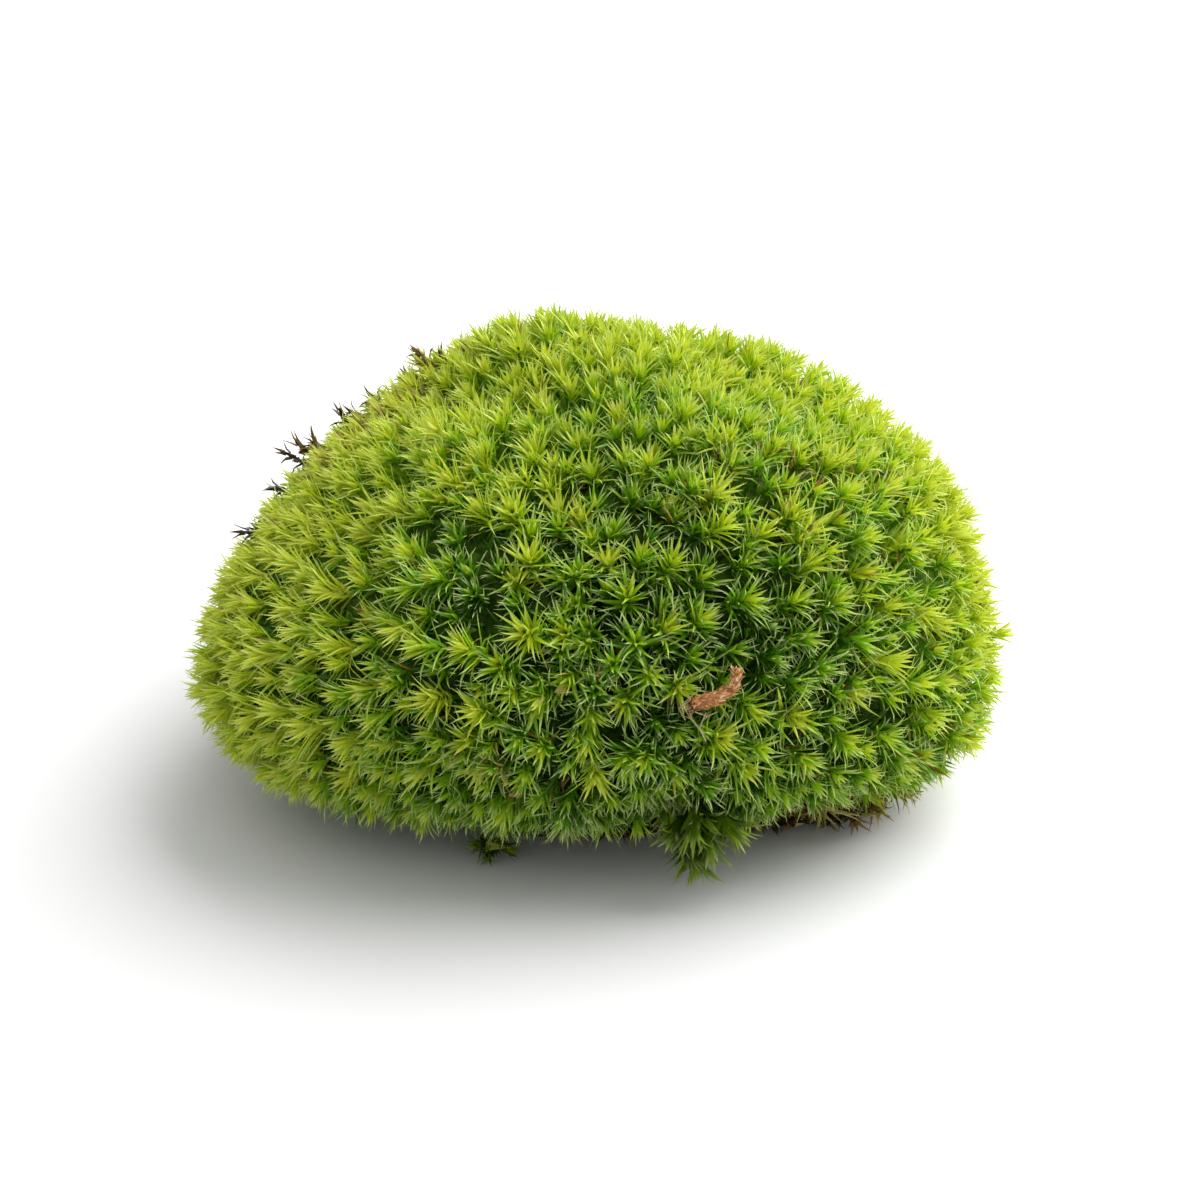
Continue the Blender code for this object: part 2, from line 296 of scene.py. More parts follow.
def blades(start, along, facing, length, width, bend, sway, twist, tone):
    """Closed tapering blades, one for each row.

    The middle line is an arc. At share t of its length it heads along, turned by bend times t
    away from facing, and it has drifted sideways by sway times t squared. The blade turns about
    its middle line by twist times t. Its half width follows the ring widths down to a point.
    The map's first value is the leaf's tone and its second one the share t.
    """
    count = len(start)
    t = np.append(RING_SHARES, 1.0)
    angle = bend[:, None] * t
    reach = t * np.sinc(angle / math.pi)
    fall = t * np.sin(angle / 2) * np.sinc(angle / 2 / math.pi)
    side = np.cross(along, facing)
    line = (
        reach[..., None] * along[:, None]
        - fall[..., None] * facing[:, None]
        + (sway[:, None] * t**2)[..., None] * side[:, None]
    )
    line = start[:, None] + length[:, None, None] * line
    front = np.cos(angle)[..., None] * facing[:, None] + np.sin(angle)[..., None] * along[:, None]
    turn = (twist[:, None] * t)[..., None]
    across = np.cos(turn) * side[:, None] + np.sin(turn) * front
    front = np.cos(turn) * front - np.sin(turn) * side[:, None]
    half = 0.5 * width[:, None, None] * RING_WIDTHS[:, None]
    rings = line[:, :-1]
    sections = np.stack(
        [
            rings - across[:, :-1] * half,
            rings + across[:, :-1] * half,
            rings - front[:, :-1] * half * 2 * KEEL_SHARE,
        ],
        axis=2,
    )
    points = np.concatenate([sections.reshape(count, -1, 3), line[:, -1:]], axis=1)
    edge = np.append(np.tile([EDGE_HIGHLIGHT_KEEL_SHADE, EDGE_HIGHLIGHT_KEEL_SHADE, -EDGE_HIGHLIGHT_KEEL_SHADE], len(RING_SHARES)), 0.0)
    tones = np.clip(tone[:, None] + edge, *TONE_LIMITS)
    shares = np.broadcast_to(np.append(np.repeat(RING_SHARES, 3), 1.0), tones.shape)
    uv = np.stack([tones, shares], axis=-1)
    faces = blade_faces() + (np.arange(count) * points.shape[1])[:, None, None]
    return points.reshape(-1, 3), faces.reshape(-1, 3), uv.reshape(-1, 2)


# %% Join forms and make a piece of them
# Edges that turn more than this stay sharp
SHARP_FROM = math.radians(50)
# The name of a material slot, and the CAD node that the pieces of the cushion and of its foot stand for
CUSHION = ("living_moss", ["moss_cushion"])
FOOT = ("dead_stems", ["rhizoid_mat"])


def joined(parts):
    """Several lots of points, triangles and map values as one."""
    points, faces, uv = zip(*parts)
    firsts = np.cumsum([0, *(len(lot) for lot in points[:-1])])
    faces = [lot + first for lot, first in zip(faces, firsts)]
    return np.concatenate(points), np.concatenate(faces), np.concatenate(uv)


def make_piece(name, form, material, slot, stands_for):
    """One mesh object from points, triangles and map values, riding on the clump."""
    points, faces, uv = form
    mesh = bpy.data.meshes.new(name)
    mesh.vertices.add(len(points))
    mesh.vertices.foreach_set("co", points.astype(np.float32).ravel())
    mesh.loops.add(faces.size)
    mesh.loops.foreach_set("vertex_index", faces.astype(np.int32).ravel())
    mesh.polygons.add(len(faces))
    mesh.polygons.foreach_set("loop_start", np.arange(0, faces.size, 3, dtype=np.int32))
    mesh.polygons.foreach_set("use_smooth", np.ones(len(faces), bool))
    mesh.uv_layers.new(name="OFBake").data.foreach_set("uv", uv[faces.ravel()].ravel())
    mesh.update(calc_edges=True)
    mesh.set_sharp_from_angle(angle=SHARP_FROM)
    mesh.materials.append(material)
    piece = bpy.data.objects.new(name, mesh)
    bpy.context.scene.collection.objects.link(piece)
    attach(piece, "root")
    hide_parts(*stands_for)
    print(name, len(faces), "triangles")


# %% [markdown]
# ## The leaf's finish
#
# A living moss leaf is a single layer of clear cells packed with chlorophyll, under a thin
# skin of water. It lets through about half of the light that it doesn't keep, so its shader
# mixes a moist, half gloss surface with a translucent one. The map carries the leaf's tone
# across and the place along the leaf upwards, so one palette serves young, old and dead leaves:
# it runs from deep shade through greens and yellow to straw and brown.

# %% Leaf material
# The two ends of the palette come first, because a new colour ramp has just those two stops
LEAF_PALETTE = (
    (0.00, "#12220A"),
    (1.00, "#4E3018"),
    (0.12, "#33600C"),
    (0.28, "#5A9A18"),
    (0.44, "#98CA22"),
    (0.54, "#BFDA2A"),
    (0.68, "#D9E23E"),
    (0.84, "#E4EC5E"),
    (0.91, "#D8C66A"),
    (0.96, "#9A6A31"),
)
# The hair point's pale colour is partly the leaf's own colourless tip and partly a painted glint
HAIR_POINT_AND_GLINT = "#F2F8BC"
# A hair point begins to pale at the first share of the leaf and is palest from the second on
PALE_FROM, PALE_FULL = 0.42, 0.92
# Darker leaves have the paler hair points, where the painted glint shows most: from the first
# tone to the second over half is lost
DARK_LEAF, BRIGHT_LEAF = 0.35, 0.7
BRIGHT_LEAF_HAIR = 0.45
WRINKLE_SIZE = 0.35 * MM
WRINKLE_HEIGHT = 0.03 * MM
MOIST_ROUGHNESS = (0.26, 0.46)
LEAF_SPECULAR = 0.36
LIT_LEAF = "#E6F25A"
# The colour Mix node has sockets for numbers too, so its colour sockets go by their places
FACTOR, FIRST, SECOND, RESULT = 0, 6, 7, 2


def leaf_material(name, palette, tip_colour, tip_share, through, glow):
    """Tone palette across the map, paler towards the hair point, moist and translucent.

    The last three numbers are how pale the hair point gets, the share of light that goes
    through the leaf, and how much brighter and yellower the light that came through is.
    """
    material, tree = new_material(name)
    place = add(tree, "ShaderNodeUVMap", uv_map="OFBake")
    parts = add(tree, "ShaderNodeSeparateXYZ", {"Vector": place})
    tone = add(tree, "ShaderNodeValToRGB", {"Fac": parts.outputs["X"]}, stops=palette)
    clear = add(
        tree, "ShaderNodeMapRange",
        {
            "Value": parts.outputs["X"], "From Min": DARK_LEAF, "From Max": BRIGHT_LEAF,
            "To Min": tip_share, "To Max": BRIGHT_LEAF_HAIR * tip_share,
        },
    )
    pale = add(
        tree, "ShaderNodeMapRange",
        {"Value": parts.outputs["Y"], "From Min": PALE_FROM, "From Max": PALE_FULL, "To Max": clear},
        interpolation_type="SMOOTHSTEP",
    )
    colour = add(
        tree, "ShaderNodeMix",
        {FACTOR: pale, FIRST: tone, SECOND: linear(tip_colour)},
        data_type="RGBA",
    ).outputs[RESULT]
    where = add(tree, "ShaderNodeTexCoord").outputs["Object"]
    wrinkles = add(tree, "ShaderNodeTexNoise", {"Vector": where, "Scale": 1 / WRINKLE_SIZE})
    bump = add(tree, "ShaderNodeBump", {"Height": wrinkles, "Distance": WRINKLE_HEIGHT})
    moist = add(
        tree, "ShaderNodeMapRange",
        {
            "Value": wrinkles, "From Min": 0.3, "From Max": 0.7,
            "To Min": MOIST_ROUGHNESS[0], "To Max": MOIST_ROUGHNESS[1],
        },
    )
    surface = add(
        tree, "ShaderNodeBsdfPrincipled",
        {"Base Color": colour, "Roughness": moist, "Normal": bump, "Specular IOR Level": LEAF_SPECULAR},
    )
    lit = add(
        tree, "ShaderNodeMix", {FACTOR: glow, FIRST: colour, SECOND: linear(LIT_LEAF)},
        data_type="RGBA",
    )
    behind = add(tree, "ShaderNodeBsdfTranslucent", {"Color": lit.outputs[RESULT]})
    both = add(tree, "ShaderNodeMixShader", {0: through, 1: surface, 2: behind})
    add(tree, "ShaderNodeOutputMaterial", {"Surface": both})
    return material


living_leaf = leaf_material(
    "living moss leaf", LEAF_PALETTE, HAIR_POINT_AND_GLINT, tip_share=0.85, through=0.5, glow=0.25
)

# %% [markdown]
# ## One shoot
#
# A shoot is a thin stem with leaves in a spiral, each one a golden angle round from the last.
# The young leaves at the tip stand nearly upright in a bright bud. Further down they are
# longer, lean out, bend back and grow darker, and the lowest are hidden in the cushion. Seen
# from its end this makes a star, and seen from the side it makes a brush.

# %% Closed tubes
def tubes(paths, radii, tones, sides=4):
    """Closed tubes, one for each row of points: rings square to the path, and a cap at each end."""
    count, rings = radii.shape
    heading = unit(np.gradient(paths, axis=1))
    middle = unit(paths[:, -1:] - paths[:, :1])
    helper = np.where(np.abs(middle[..., 2:]) < 0.9, [0.0, 0.0, 1.0], [1.0, 0.0, 0.0])
    side = unit(np.cross(heading, helper))
    other = np.cross(heading, side)
    turn = np.arange(sides) * 2 * math.pi / sides
    round_way = (
        np.cos(turn)[:, None] * side[:, :, None] + np.sin(turn)[:, None] * other[:, :, None]
    )
    points = paths[:, :, None] + radii[..., None, None] * round_way
    step = np.arange(1, sides - 1)
    cap = np.stack([0 * step, step, step + 1], axis=-1)
    faces = np.concatenate([walls(rings, sides), cap[:, ::-1], cap + (rings - 1) * sides])
    faces = faces + (np.arange(count) * rings * sides)[:, None, None]
    shares = np.broadcast_to(np.linspace(0, 0.4, rings)[:, None], (count, rings, sides))
    tone = np.broadcast_to(np.asarray(tones)[:, None, None], (count, rings, sides))
    uv = np.stack([tone, shares], axis=-1)
    return points.reshape(-1, 3), faces.reshape(-1, 3), uv.reshape(-1, 2)


# %% Leafy shoots
STEM_RADIUS = 0.3 * MM
STEM_TONE = 0.2
# The stem's first three places along the axis in mm, and its swelling at all four
STEM_PLACES, STEM_SWELLING = (0.3, -1.5, -4.5), (0.5, 1.0, 1.1, 1.2)
# How far chance moves the old leaves: turn, sway and twist in radians, lean and bend in degrees
WILD_TURN, WILD_SWAY, WILD_TWIST, WILD_LEAN, WILD_BEND = 0.2, 0.10, 0.5, 7, 14
LENGTH_CHANCE, WIDTH_CHANCE = (0.78, 1.16), (0.85, 1.12)
LEAN_LIMITS = (2, 100)
# The bud is about the first third of the leaves: short, upright and bright
BUD_SHARE = 0.35
BUD_GLOW, OLD_SHADE, TONE_SPREAD = 0.14, 0.13, 0.05
LIVING_LIMIT = 0.82
DEAD_TONES = (0.88, 0.99)


def between(ends, share):
    """From the first value to the second as share goes from 0 to 1."""
    return ends[0] + (ends[1] - ends[0]) * share


def leafy_shoots(
    apex, axis, size, tone, leaves, seed,
    leafy=3.6 * MM, length=(2.2 * MM, 4.5 * MM), width=(0.62 * MM, 0.45 * MM),
    tilt=(8, 64), bend=(2, 28), spread=1.0, comb=(0, 0, 0), unruly=1.5, faded=0.02, stem=8 * MM,
):
    """Stems with spirals of leaves. Each shoot is a row of apex, axis, size and tone.

    A leaf's share goes from 0 at the tip of the shoot to 1 at its lowest leaf. Its tilt from
    the axis grows with the root of that share and with the shoot's spread, and its bend with
    the share itself. Then the comb, a vector for each shoot, is added to the leaf's own way as
    much as its share says, so the lower leaves all hang, or blow, the same way. The buds are
    neat and the old leaves unruly.
    """
    rng = np.random.default_rng(seed)
    count = len(apex)
    shape = (count, leaves)
    share = (np.arange(leaves) / (leaves - 1)) * np.ones(shape)
    helper = unit(rng.normal(size=(count, 3)))
    across = unit(np.cross(axis, helper))
    other = np.cross(axis, across)
    turn = GOLDEN_ANGLE * np.arange(leaves) + rng.uniform(0, 2 * math.pi, (count, 1))
    wild = unruly * (0.5 + share)
    turn = (turn + WILD_TURN * wild * rng.normal(size=shape))[..., None]
    out = np.cos(turn) * across[:, None] + np.sin(turn) * other[:, None]
    spread = np.broadcast_to(spread, count)[:, None]
    lean = spread * between(tilt, share**0.5) + WILD_LEAN * wild * rng.normal(size=shape)
    lean = np.radians(np.clip(lean, *LEAN_LIMITS))[..., None]
    along = np.cos(lean) * axis[:, None] + np.sin(lean) * out
    facing = np.sin(lean) * axis[:, None] - np.cos(lean) * out
    along = unit(along + np.broadcast_to(comb, (count, 3))[:, None] * share[..., None])
    facing = unit(facing - np.sum(facing * along, axis=-1, keepdims=True) * along)
    depth = leafy * share**1.15 * size[:, None]
    start = apex[:, None] - depth[..., None] * axis[:, None] + 0.8 * STEM_RADIUS * out
    grown = ramp(share, 0, BUD_SHARE)
    long = between(length, grown) * size[:, None] * rng.uniform(*LENGTH_CHANCE, shape)
    wide = between(width, grown) * size[:, None] ** 0.5 * rng.uniform(*WIDTH_CHANCE, shape)
    curve = np.radians(between(bend, share) + WILD_BEND * wild * rng.normal(size=shape))
    sway = WILD_SWAY * wild * rng.normal(size=shape)
    twist = WILD_TWIST * wild * rng.normal(size=shape)
    shade = tone[:, None] + BUD_GLOW * (1 - grown) - OLD_SHADE * share
    shade = shade + TONE_SPREAD * rng.normal(size=shape)
    dead = rng.random(shape) < np.broadcast_to(faded, count)[:, None] * share
    shade = np.where(dead, rng.uniform(*DEAD_TONES, shape), np.minimum(shade, LIVING_LIMIT))
    each = (start, along, facing, long, wide, curve, sway, twist, shade)
    leaf_form = blades(*(values.reshape(count * leaves, *values.shape[2:]) for values in each))
    down = np.array([*STEM_PLACES, -stem / MM]) * MM
    paths = apex[:, None] + down[:, None] * axis[:, None]
    radii = STEM_RADIUS * np.broadcast_to(STEM_SWELLING, (count, 4))
    stem_form = tubes(paths, radii, np.full(count, STEM_TONE))
    return joined([leaf_form, stem_form])


# %% [markdown]
# ## How the shoots stand and what tone they have
#
# Shoots grow away from the cushion's foot and square to its surface, and neighbours lean
# together, so each axis is a mix of those ways and of a slow wave. On the crown they turn
# upwards to the light, on the left they are swept outwards, and round the lower edge they hang.
# Nearly every second shoot is a leader: it stands proud with a bright star, and the rest fill
# the shade between. A farthest-point choice keeps the leaders evenly apart.

# %% Directions and soft noise
def way_of(azimuth, elevation):
    """The unit vector at so many degrees round from the right, and so many up from level."""
    rise = math.radians(elevation)
    return round_points(math.cos(rise), math.radians(azimuth), math.sin(rise))


def nearness(directions, azimuth, elevation, spread):
    """A bell curve of the angle to one direction: 1 there, and a third one spread away."""
    cosine = np.clip(directions @ way_of(azimuth, elevation), -1, 1)
    return np.exp(-((np.degrees(np.arccos(cosine)) / spread) ** 2))


def smooth_noise(points, size, seed, waves=24):
    """Soft noise about 0: a sum of seeded sine waves whose lengths are near the given size."""
    rng = np.random.default_rng(seed)
    headings = unit(rng.normal(size=(waves, 3))) * 2 * math.pi / size
    headings *= rng.uniform(0.6, 1.7, (waves, 1))
    phases = rng.uniform(0, 2 * math.pi, waves)
    return np.sin(points @ headings.T + phases).sum(axis=1) / math.sqrt(waves)


# %% How each shoot stands
PATCH_SIZE = 26 * MM
LEAN_SIZE = 24 * MM
# From the middle out to this far left the shoots lean more and more, and less so on the right
SWEPT_FROM, SWEPT_LIMITS = 36 * MM, (-0.45, 1)
SWEEP = np.array([-1.10, 0.0, -0.12])
UPWARD = np.array([0.0, 0.0, 0.75])
HANG = np.array([0.0, 0.0, -0.80])
# Shares of the surface's own way, of the way from the middle, of the slow wave and of chance
SQUARE, OUTWARD, WAVE, CHANCE = 0.6, 0.4, 0.22, 0.17
# Elevations in degrees where each habit begins and where it is full
UPWARD_BETWEEN, HANG_BETWEEN, DARK_BETWEEN = (12, 52), (4, -26), (-4, -29)
COMB_DOWN_BETWEEN, COMB_UP_BETWEEN = (25, -20), (25, 65)
UNDERSIDE_SHADE = 0.12
# The open middle of the front, deep green partly in its own colour and partly as painted shade:
# azimuth, elevation and spread in degrees
FRONT_MIDDLE = (272, 16, 52)
# Tones of the deep front and of the rims: partly the moss's own colour and partly painted light, the
# rims paler as if lit through from behind and the front middle darker as painted shade
DEEP_TONE_AND_SHADE, RIM_TONE_AND_LIGHT = 0.38, 0.73
# How leaves are combed: down at the lower edge, outwards on the left and upwards on the crown
COMB_DOWN = np.array([0.0, 0.0, -0.55])
COMB_LEFT = np.array([-0.70, 0.0, -0.10])
COMB_UP = np.array([0.0, 0.0, 0.35])
# Azimuth, elevation and spread in degrees, and how the tone changes there
TONE_PATCHES = (
    (160, 36, 13, 0.16), (339, 36, 7, 0.10), (21, 47, 7, 0.12), (322, 17, 7, 0.06),
    (350, 42, 24, -0.08), (313, 16, 15, -0.14), (190, 10, 45, 0.10), (324, -8, 18, -0.14),
    (352, 8, 20, 0.10),
)
# Where the fringe is lifted off the foot
LIFTED = (314, -18, 19)


def surface_normals(places, near=9):
    """The way of least spread among the tips nearest to each place, turned outwards."""
    nearest = np.argsort(np.linalg.norm(places[:, None] - tips[None], axis=2), axis=1)[:, :near]
    spread = tips[nearest] - tips[nearest].mean(axis=1, keepdims=True)
    _, axes = np.linalg.eigh(np.einsum("nki,nkj->nij", spread, spread))
    normals = axes[:, :, 0]
    return normals * np.sign(np.sum(normals * (places - BUN_CENTRE), axis=1))[:, None]


def stance(places, seed):
    """For each place its axis, its leaves' comb, how deep in the front it is, and its tone."""
    ways = unit(places - BUN_CENTRE)
    elevations = np.degrees(np.arcsin(ways[:, 2]))
    rng = np.random.default_rng(seed)
    lean = np.stack([smooth_noise(places, LEAN_SIZE, wave) for wave in (3, 4, 5)], axis=1)
    axes = SQUARE * surface_normals(places) + OUTWARD * ways + WAVE * lean
    axes += CHANCE * rng.normal(size=places.shape)
    axes += np.clip(-places[:, :1] / SWEPT_FROM, *SWEPT_LIMITS) * SWEEP
    axes += ramp(elevations, *UPWARD_BETWEEN)[:, None] * UPWARD
    hanging = 1 - nearness(ways, *LIFTED)[:, None]
    axes += hanging * ramp(elevations, *HANG_BETWEEN)[:, None] * HANG
    deep = nearness(ways, *FRONT_MIDDLE)
    tones = between((RIM_TONE_AND_LIGHT, DEEP_TONE_AND_SHADE), deep)
    tones += TONE_SPREAD * smooth_noise(places, PATCH_SIZE, 8)
    tones += TONE_SPREAD * rng.normal(size=len(places))
    tones -= UNDERSIDE_SHADE * ramp(elevations, *DARK_BETWEEN)
    for azimuth, elevation, spread, change in TONE_PATCHES:
        tones += change * nearness(ways, azimuth, elevation, spread)
    combs = hanging * ramp(elevations, *COMB_DOWN_BETWEEN)[:, None] * COMB_DOWN
    combs = combs + ramp(places[:, :1], 0, -SWEPT_FROM) * COMB_LEFT
    combs = combs + ramp(elevations, *COMB_UP_BETWEEN)[:, None] * COMB_UP
    return unit(axes), combs, deep, tones


# %% Leaders, stars and dead shoots
LEADERS = 330
LEADER_DROP, FILLER_DROP = 2.5 * MM, 3.1 * MM
LEADER_SIZES, FILLER_SIZES = (0.9, 1.2), (0.78, 1.0)
# Painted light and shade: leaders, which stand proud, a little lighter, and the lower fillers between
# them a little darker
LEADER_PAINTED_LIGHT, FILLER_PAINTED_SHADE = 0.02, -0.04
FILLER_JITTER, DROP_CHANCE, SPREAD_CHANCE = 0.5 * MM, (0.75, 1.3), (0.8, 1.15)
WIDE_SPREAD, CLOSE_SPREAD = 1.10, 0.68
# Dead shoots on the upper left rim: azimuth, elevation, how far in mm they top it, and tone
DEAD_SHOOTS = (
    (163, 5, 2.6, 0.24), (168, 16, 3.4, 0.20), (158, 20, 3.0, 0.34), (150, 26, 2.2, 0.26),
    (143, 30, 2.4, 0.38), (138, 35, 2.0, 0.52), (134, 40, 2.0, 0.48),
)
# Living shoots that stick out of the outline: azimuth, elevation, and how far in mm
PROUD_SHOOTS = ((350, 0, 2.4), (201, -6, 2.6), (331, -9, 1.6), (98, 62, 1.2), (76, 60, 1.0))
# Shoots that stand out on the front: size and change of tone, then azimuths and elevations
STARS = {
    (0.9, -0.08): [(271, 13), (302, 14)],
    (0.9, 0.0): [(265, 27), (302, 31)],
    (0.9, 0.18): [(281, 15)],
    (1.1, -0.08): [(254, -13), (260, -10), (264, -12), (318, -2), (333, -8), (289, 17), (304, 19)],
    (1.1, 0.0): [(231, -1), (271, -4), (304, -4), (274, 0), (277, 1), (325, 4), (256, 12),
        (260, 9), (304, 10), (308, 12), (254, 17), (267, 18), (308, 16), (235, 24), (267, 33),
        (307, 35), (240, 42), (256, 41), (275, 42), (311, 53), (283, 58), (314, 62)],
    (1.1, 0.08): [(232, -14), (323, -9), (229, -8), (311, -1), (232, 7), (236, 0), (261, 3),
        (268, 0), (297, 6), (225, 13), (251, 9), (274, 9), (239, 17), (247, 19), (264, 22),
        (278, 21), (308, 23), (314, 21), (214, 29), (220, 24), (232, 30), (240, 28), (255, 31),
        (277, 29), (292, 24), (294, 31), (300, 24), (324, 27), (221, 36), (257, 35), (282, 37),
        (288, 35), (299, 37), (230, 44), (243, 45), (251, 42), (308, 47), (232, 52), (282, 49),
        (242, 60), (255, 56)],
    (1.1, 0.15): [(326, -2), (213, 7), (219, 2), (270, 6), (330, 2), (212, 14), (244, 10),
        (285, 12), (331, 12), (334, 9), (204, 19), (218, 19), (226, 18), (235, 17), (257, 22),
        (349, 17), (273, 36), (267, 45), (290, 45), (207, 52), (243, 50)],
    (1.3, 0.08): [(241, -5), (295, -2), (249, 3), (264, 12), (316, 12), (313, 37), (259, 47),
        (297, 49), (239, 73)],
    (1.3, 0.15): [(221, -7), (207, 6), (224, 1), (291, 4), (303, 4), (323, 8), (285, 23), (322, 22),
        (324, 16), (335, 23), (313, 28), (209, 33), (316, 33), (301, 43)],
    (1.3, 0.18): [(251, -4)],
    (1.3, 0.30): [(313, 5)],
}


def spaced_choice(points, count, taken):
    """Marks count of the points, each the one furthest from all those taken before it."""
    chosen = np.zeros(len(points), bool)
    nearest = np.linalg.norm(points[:, None] - taken[None], axis=2).min(axis=1)
    for _ in range(count):
        pick = nearest.argmax()
        chosen[pick] = True
        nearest = np.minimum(nearest, np.linalg.norm(points - points[pick], axis=1))
    return chosen


def nearest_tips(rows, taken=()):
    """For each row's way in turn, the number of the nearest tip that isn't taken yet."""
    picks = list(taken)
    for azimuth, elevation, *_ in rows:
        closeness = ways @ way_of(azimuth, elevation)
        closeness[picks] = -1
        picks.append(int(closeness.argmax()))
    return picks[len(taken) :]


star_rows = [(*way, *look) for look, places in STARS.items() for way in places]
dead = nearest_tips(DEAD_SHOOTS)
stars = nearest_tips(star_rows, taken=dead)
proud = nearest_tips(PROUD_SHOOTS, taken=dead)
star_reach = np.linalg.norm(tips[stars] - BUN_CENTRE, axis=1)
star_ways = np.array([way_of(azimuth, elevation) for azimuth, elevation, _, _ in star_rows])
tips[stars] = BUN_CENTRE + star_reach[:, None] * star_ways
ways = unit(tips - BUN_CENTRE)

axes, combs, deep, tones = stance(tips, seed=21)
rng = np.random.default_rng(22)
leads = spaced_choice(tips, LEADERS - len(stars), tips[stars])
leads[stars] = True
size = np.where(leads, *(rng.uniform(*ends, len(tips)) for ends in (LEADER_SIZES, FILLER_SIZES)))
size[stars] = [size_there for _, _, size_there, _ in star_rows]
changes = np.where(leads, LEADER_PAINTED_LIGHT, FILLER_PAINTED_SHADE)
changes[stars] = [change for *_, change in star_rows]
tones += changes
tones[proud] = RIM_TONE_AND_LIGHT
drop = np.where(leads, LEADER_DROP, FILLER_DROP) * size * rng.uniform(*DROP_CHANCE, len(tips))
drop[dead] += np.array([above for _, _, above, _ in DEAD_SHOOTS]) * MM
drop[proud] -= np.array([above for *_, above in PROUD_SHOOTS]) * MM
apexes = tips - drop[:, None] * axes
apexes += FILLER_JITTER * rng.normal(size=tips.shape) * ~leads[:, None]
spreads = between((CLOSE_SPREAD, WIDE_SPREAD), deep) * rng.uniform(*SPREAD_CHANCE, len(tips))
print(int(leads.sum()), "leaders; tones", np.round([tones.min(), np.median(tones), tones.max()], 2))

# %% [markdown]
# ## The cushion's shoots, in five pieces
#
# One mesh for all the leaves would be too heavy to handle, so the crown and the four sides are
# a mesh each. A shoot belongs wholly to one of them, and so no seam shows. Short shoots rise
# from the hollows between the spikes and break up the even rows of stars.

# %% Where leaves have withered
# Azimuth, elevation and spread in degrees, and the share of withered leaves there
WITHERED_PATCHES = (
    (166, 32, 12, 0.6), (152, 35, 8, 0.6), (323, 42, 4, 0.8), (306, -1, 3, 0.7),
    (252, -2, 3, 0.6), (261, 17, 3, 0.6), (338, 37, 5, 0.4), (140, 42, 8, 0.4),
    (326, -15, 10, 0.35),
)
WITHERED_ANYWHERE = 0.02


def withered_share(places):
    """The share of withered leaves: a little everywhere, and much in the withered patches."""
    directions = unit(places - BUN_CENTRE)
    return WITHERED_ANYWHERE + sum(
        share * nearness(directions, azimuth, elevation, spread)
        for azimuth, elevation, spread, share in WITHERED_PATCHES
    )


# %% Shoots of the crown and the four sides
LEADER_LEAVES = 38
FILLER_LEAVES = 32
HOLLOW_SHOOTS = 900
HOLLOW_LEAVES = 18
HOLLOW_LOWEST = -22
HOLLOW_RISE = 2.2 * MM
# Hollow shoots stand deep between the spikes, and their change of tone is painted shade
HOLLOW_SIZE, HOLLOW_LEAFY, HOLLOW_SPREAD, HOLLOW_PAINTED_SHADE = 0.85, 2.4 * MM, 0.9, -0.06
CROWN_FROM = 50


def side_of(places):
    """Which piece a shoot belongs to: 0 right, 1 back, 2 left, 3 front and 4 the crown."""
    x, y, z = (places - BUN_CENTRE).T
    side = np.floor((np.degrees(np.arctan2(y, x)) + 45) % 360 / 90)
    steep = z > math.tan(math.radians(CROWN_FROM)) * np.hypot(x, y)
    return np.where(steep, 4, side).astype(int)


low = np.degrees(np.arcsin(unit(hollows - BUN_CENTRE)[:, 2]))
deep_places = hollows[low > HOLLOW_LOWEST]
# Only every sixth tip, so that hollows next to the others are taken as well
deep_places = deep_places[spaced_choice(deep_places, HOLLOW_SHOOTS, tips[::6])]
deep_axes, deep_combs, deep_front, deep_tones = stance(deep_places, seed=23)
deep_places = deep_places + HOLLOW_RISE * (1 - deep_front[:, None]) * deep_axes
for side, name in enumerate(
    ("right_shoots", "back_shoots", "left_shoots", "front_shoots", "crown_shoots")
):
    lots = []
    for kind, leaves in ((leads, LEADER_LEAVES), (~leads, FILLER_LEAVES)):
        here = kind & (side_of(tips) == side)
        form = leafy_shoots(
            apexes[here], axes[here], size[here], tones[here], leaves, seed=100 + side,
            spread=spreads[here], comb=combs[here], faded=withered_share(tips[here]),
        )
        lots.append(form)
    here = side_of(deep_places) == side
    form = leafy_shoots(
        deep_places[here], deep_axes[here], np.full(here.sum(), HOLLOW_SIZE),
        deep_tones[here] + HOLLOW_PAINTED_SHADE, HOLLOW_LEAVES, seed=110 + side, leafy=HOLLOW_LEAFY,
        spread=HOLLOW_SPREAD, comb=deep_combs[here], faded=withered_share(deep_places[here]),
    )
    lots.append(form)
    make_piece(name, joined(lots), living_leaf, *CUSHION)

# %% [markdown]
# ## The skirt
#
# Round the lower edge the outermost shoots have toppled outwards and hang over the foot. They
# grow from the corners of the cushion's turned-in lower side.

# %% Hanging shoots of the lower edge
SKIRT_ELEVATIONS = (-34, -13)
SKIRT_LOWEST = 5.6 * MM
SKIRT_SHOOTS = 160
SKIRT_LEAVES = 24
# The skirt's change of tone is painted shade under the cushion's overhang
SKIRT_SIZE, SKIRT_SPREAD, SKIRT_PAINTED_SHADE, SKIRT_COMBING = 1.12, 0.8, -0.23, 1.2
# Their hair points are short, so their painted glint is dimmed in the shade under the edge:
# along the leaf the map stops at this share
SKIRT_HAIR = 0.62

in_skirt = (low > SKIRT_ELEVATIONS[0]) & (low < SKIRT_ELEVATIONS[1])
in_skirt &= hollows[:, 2] > SKIRT_LOWEST
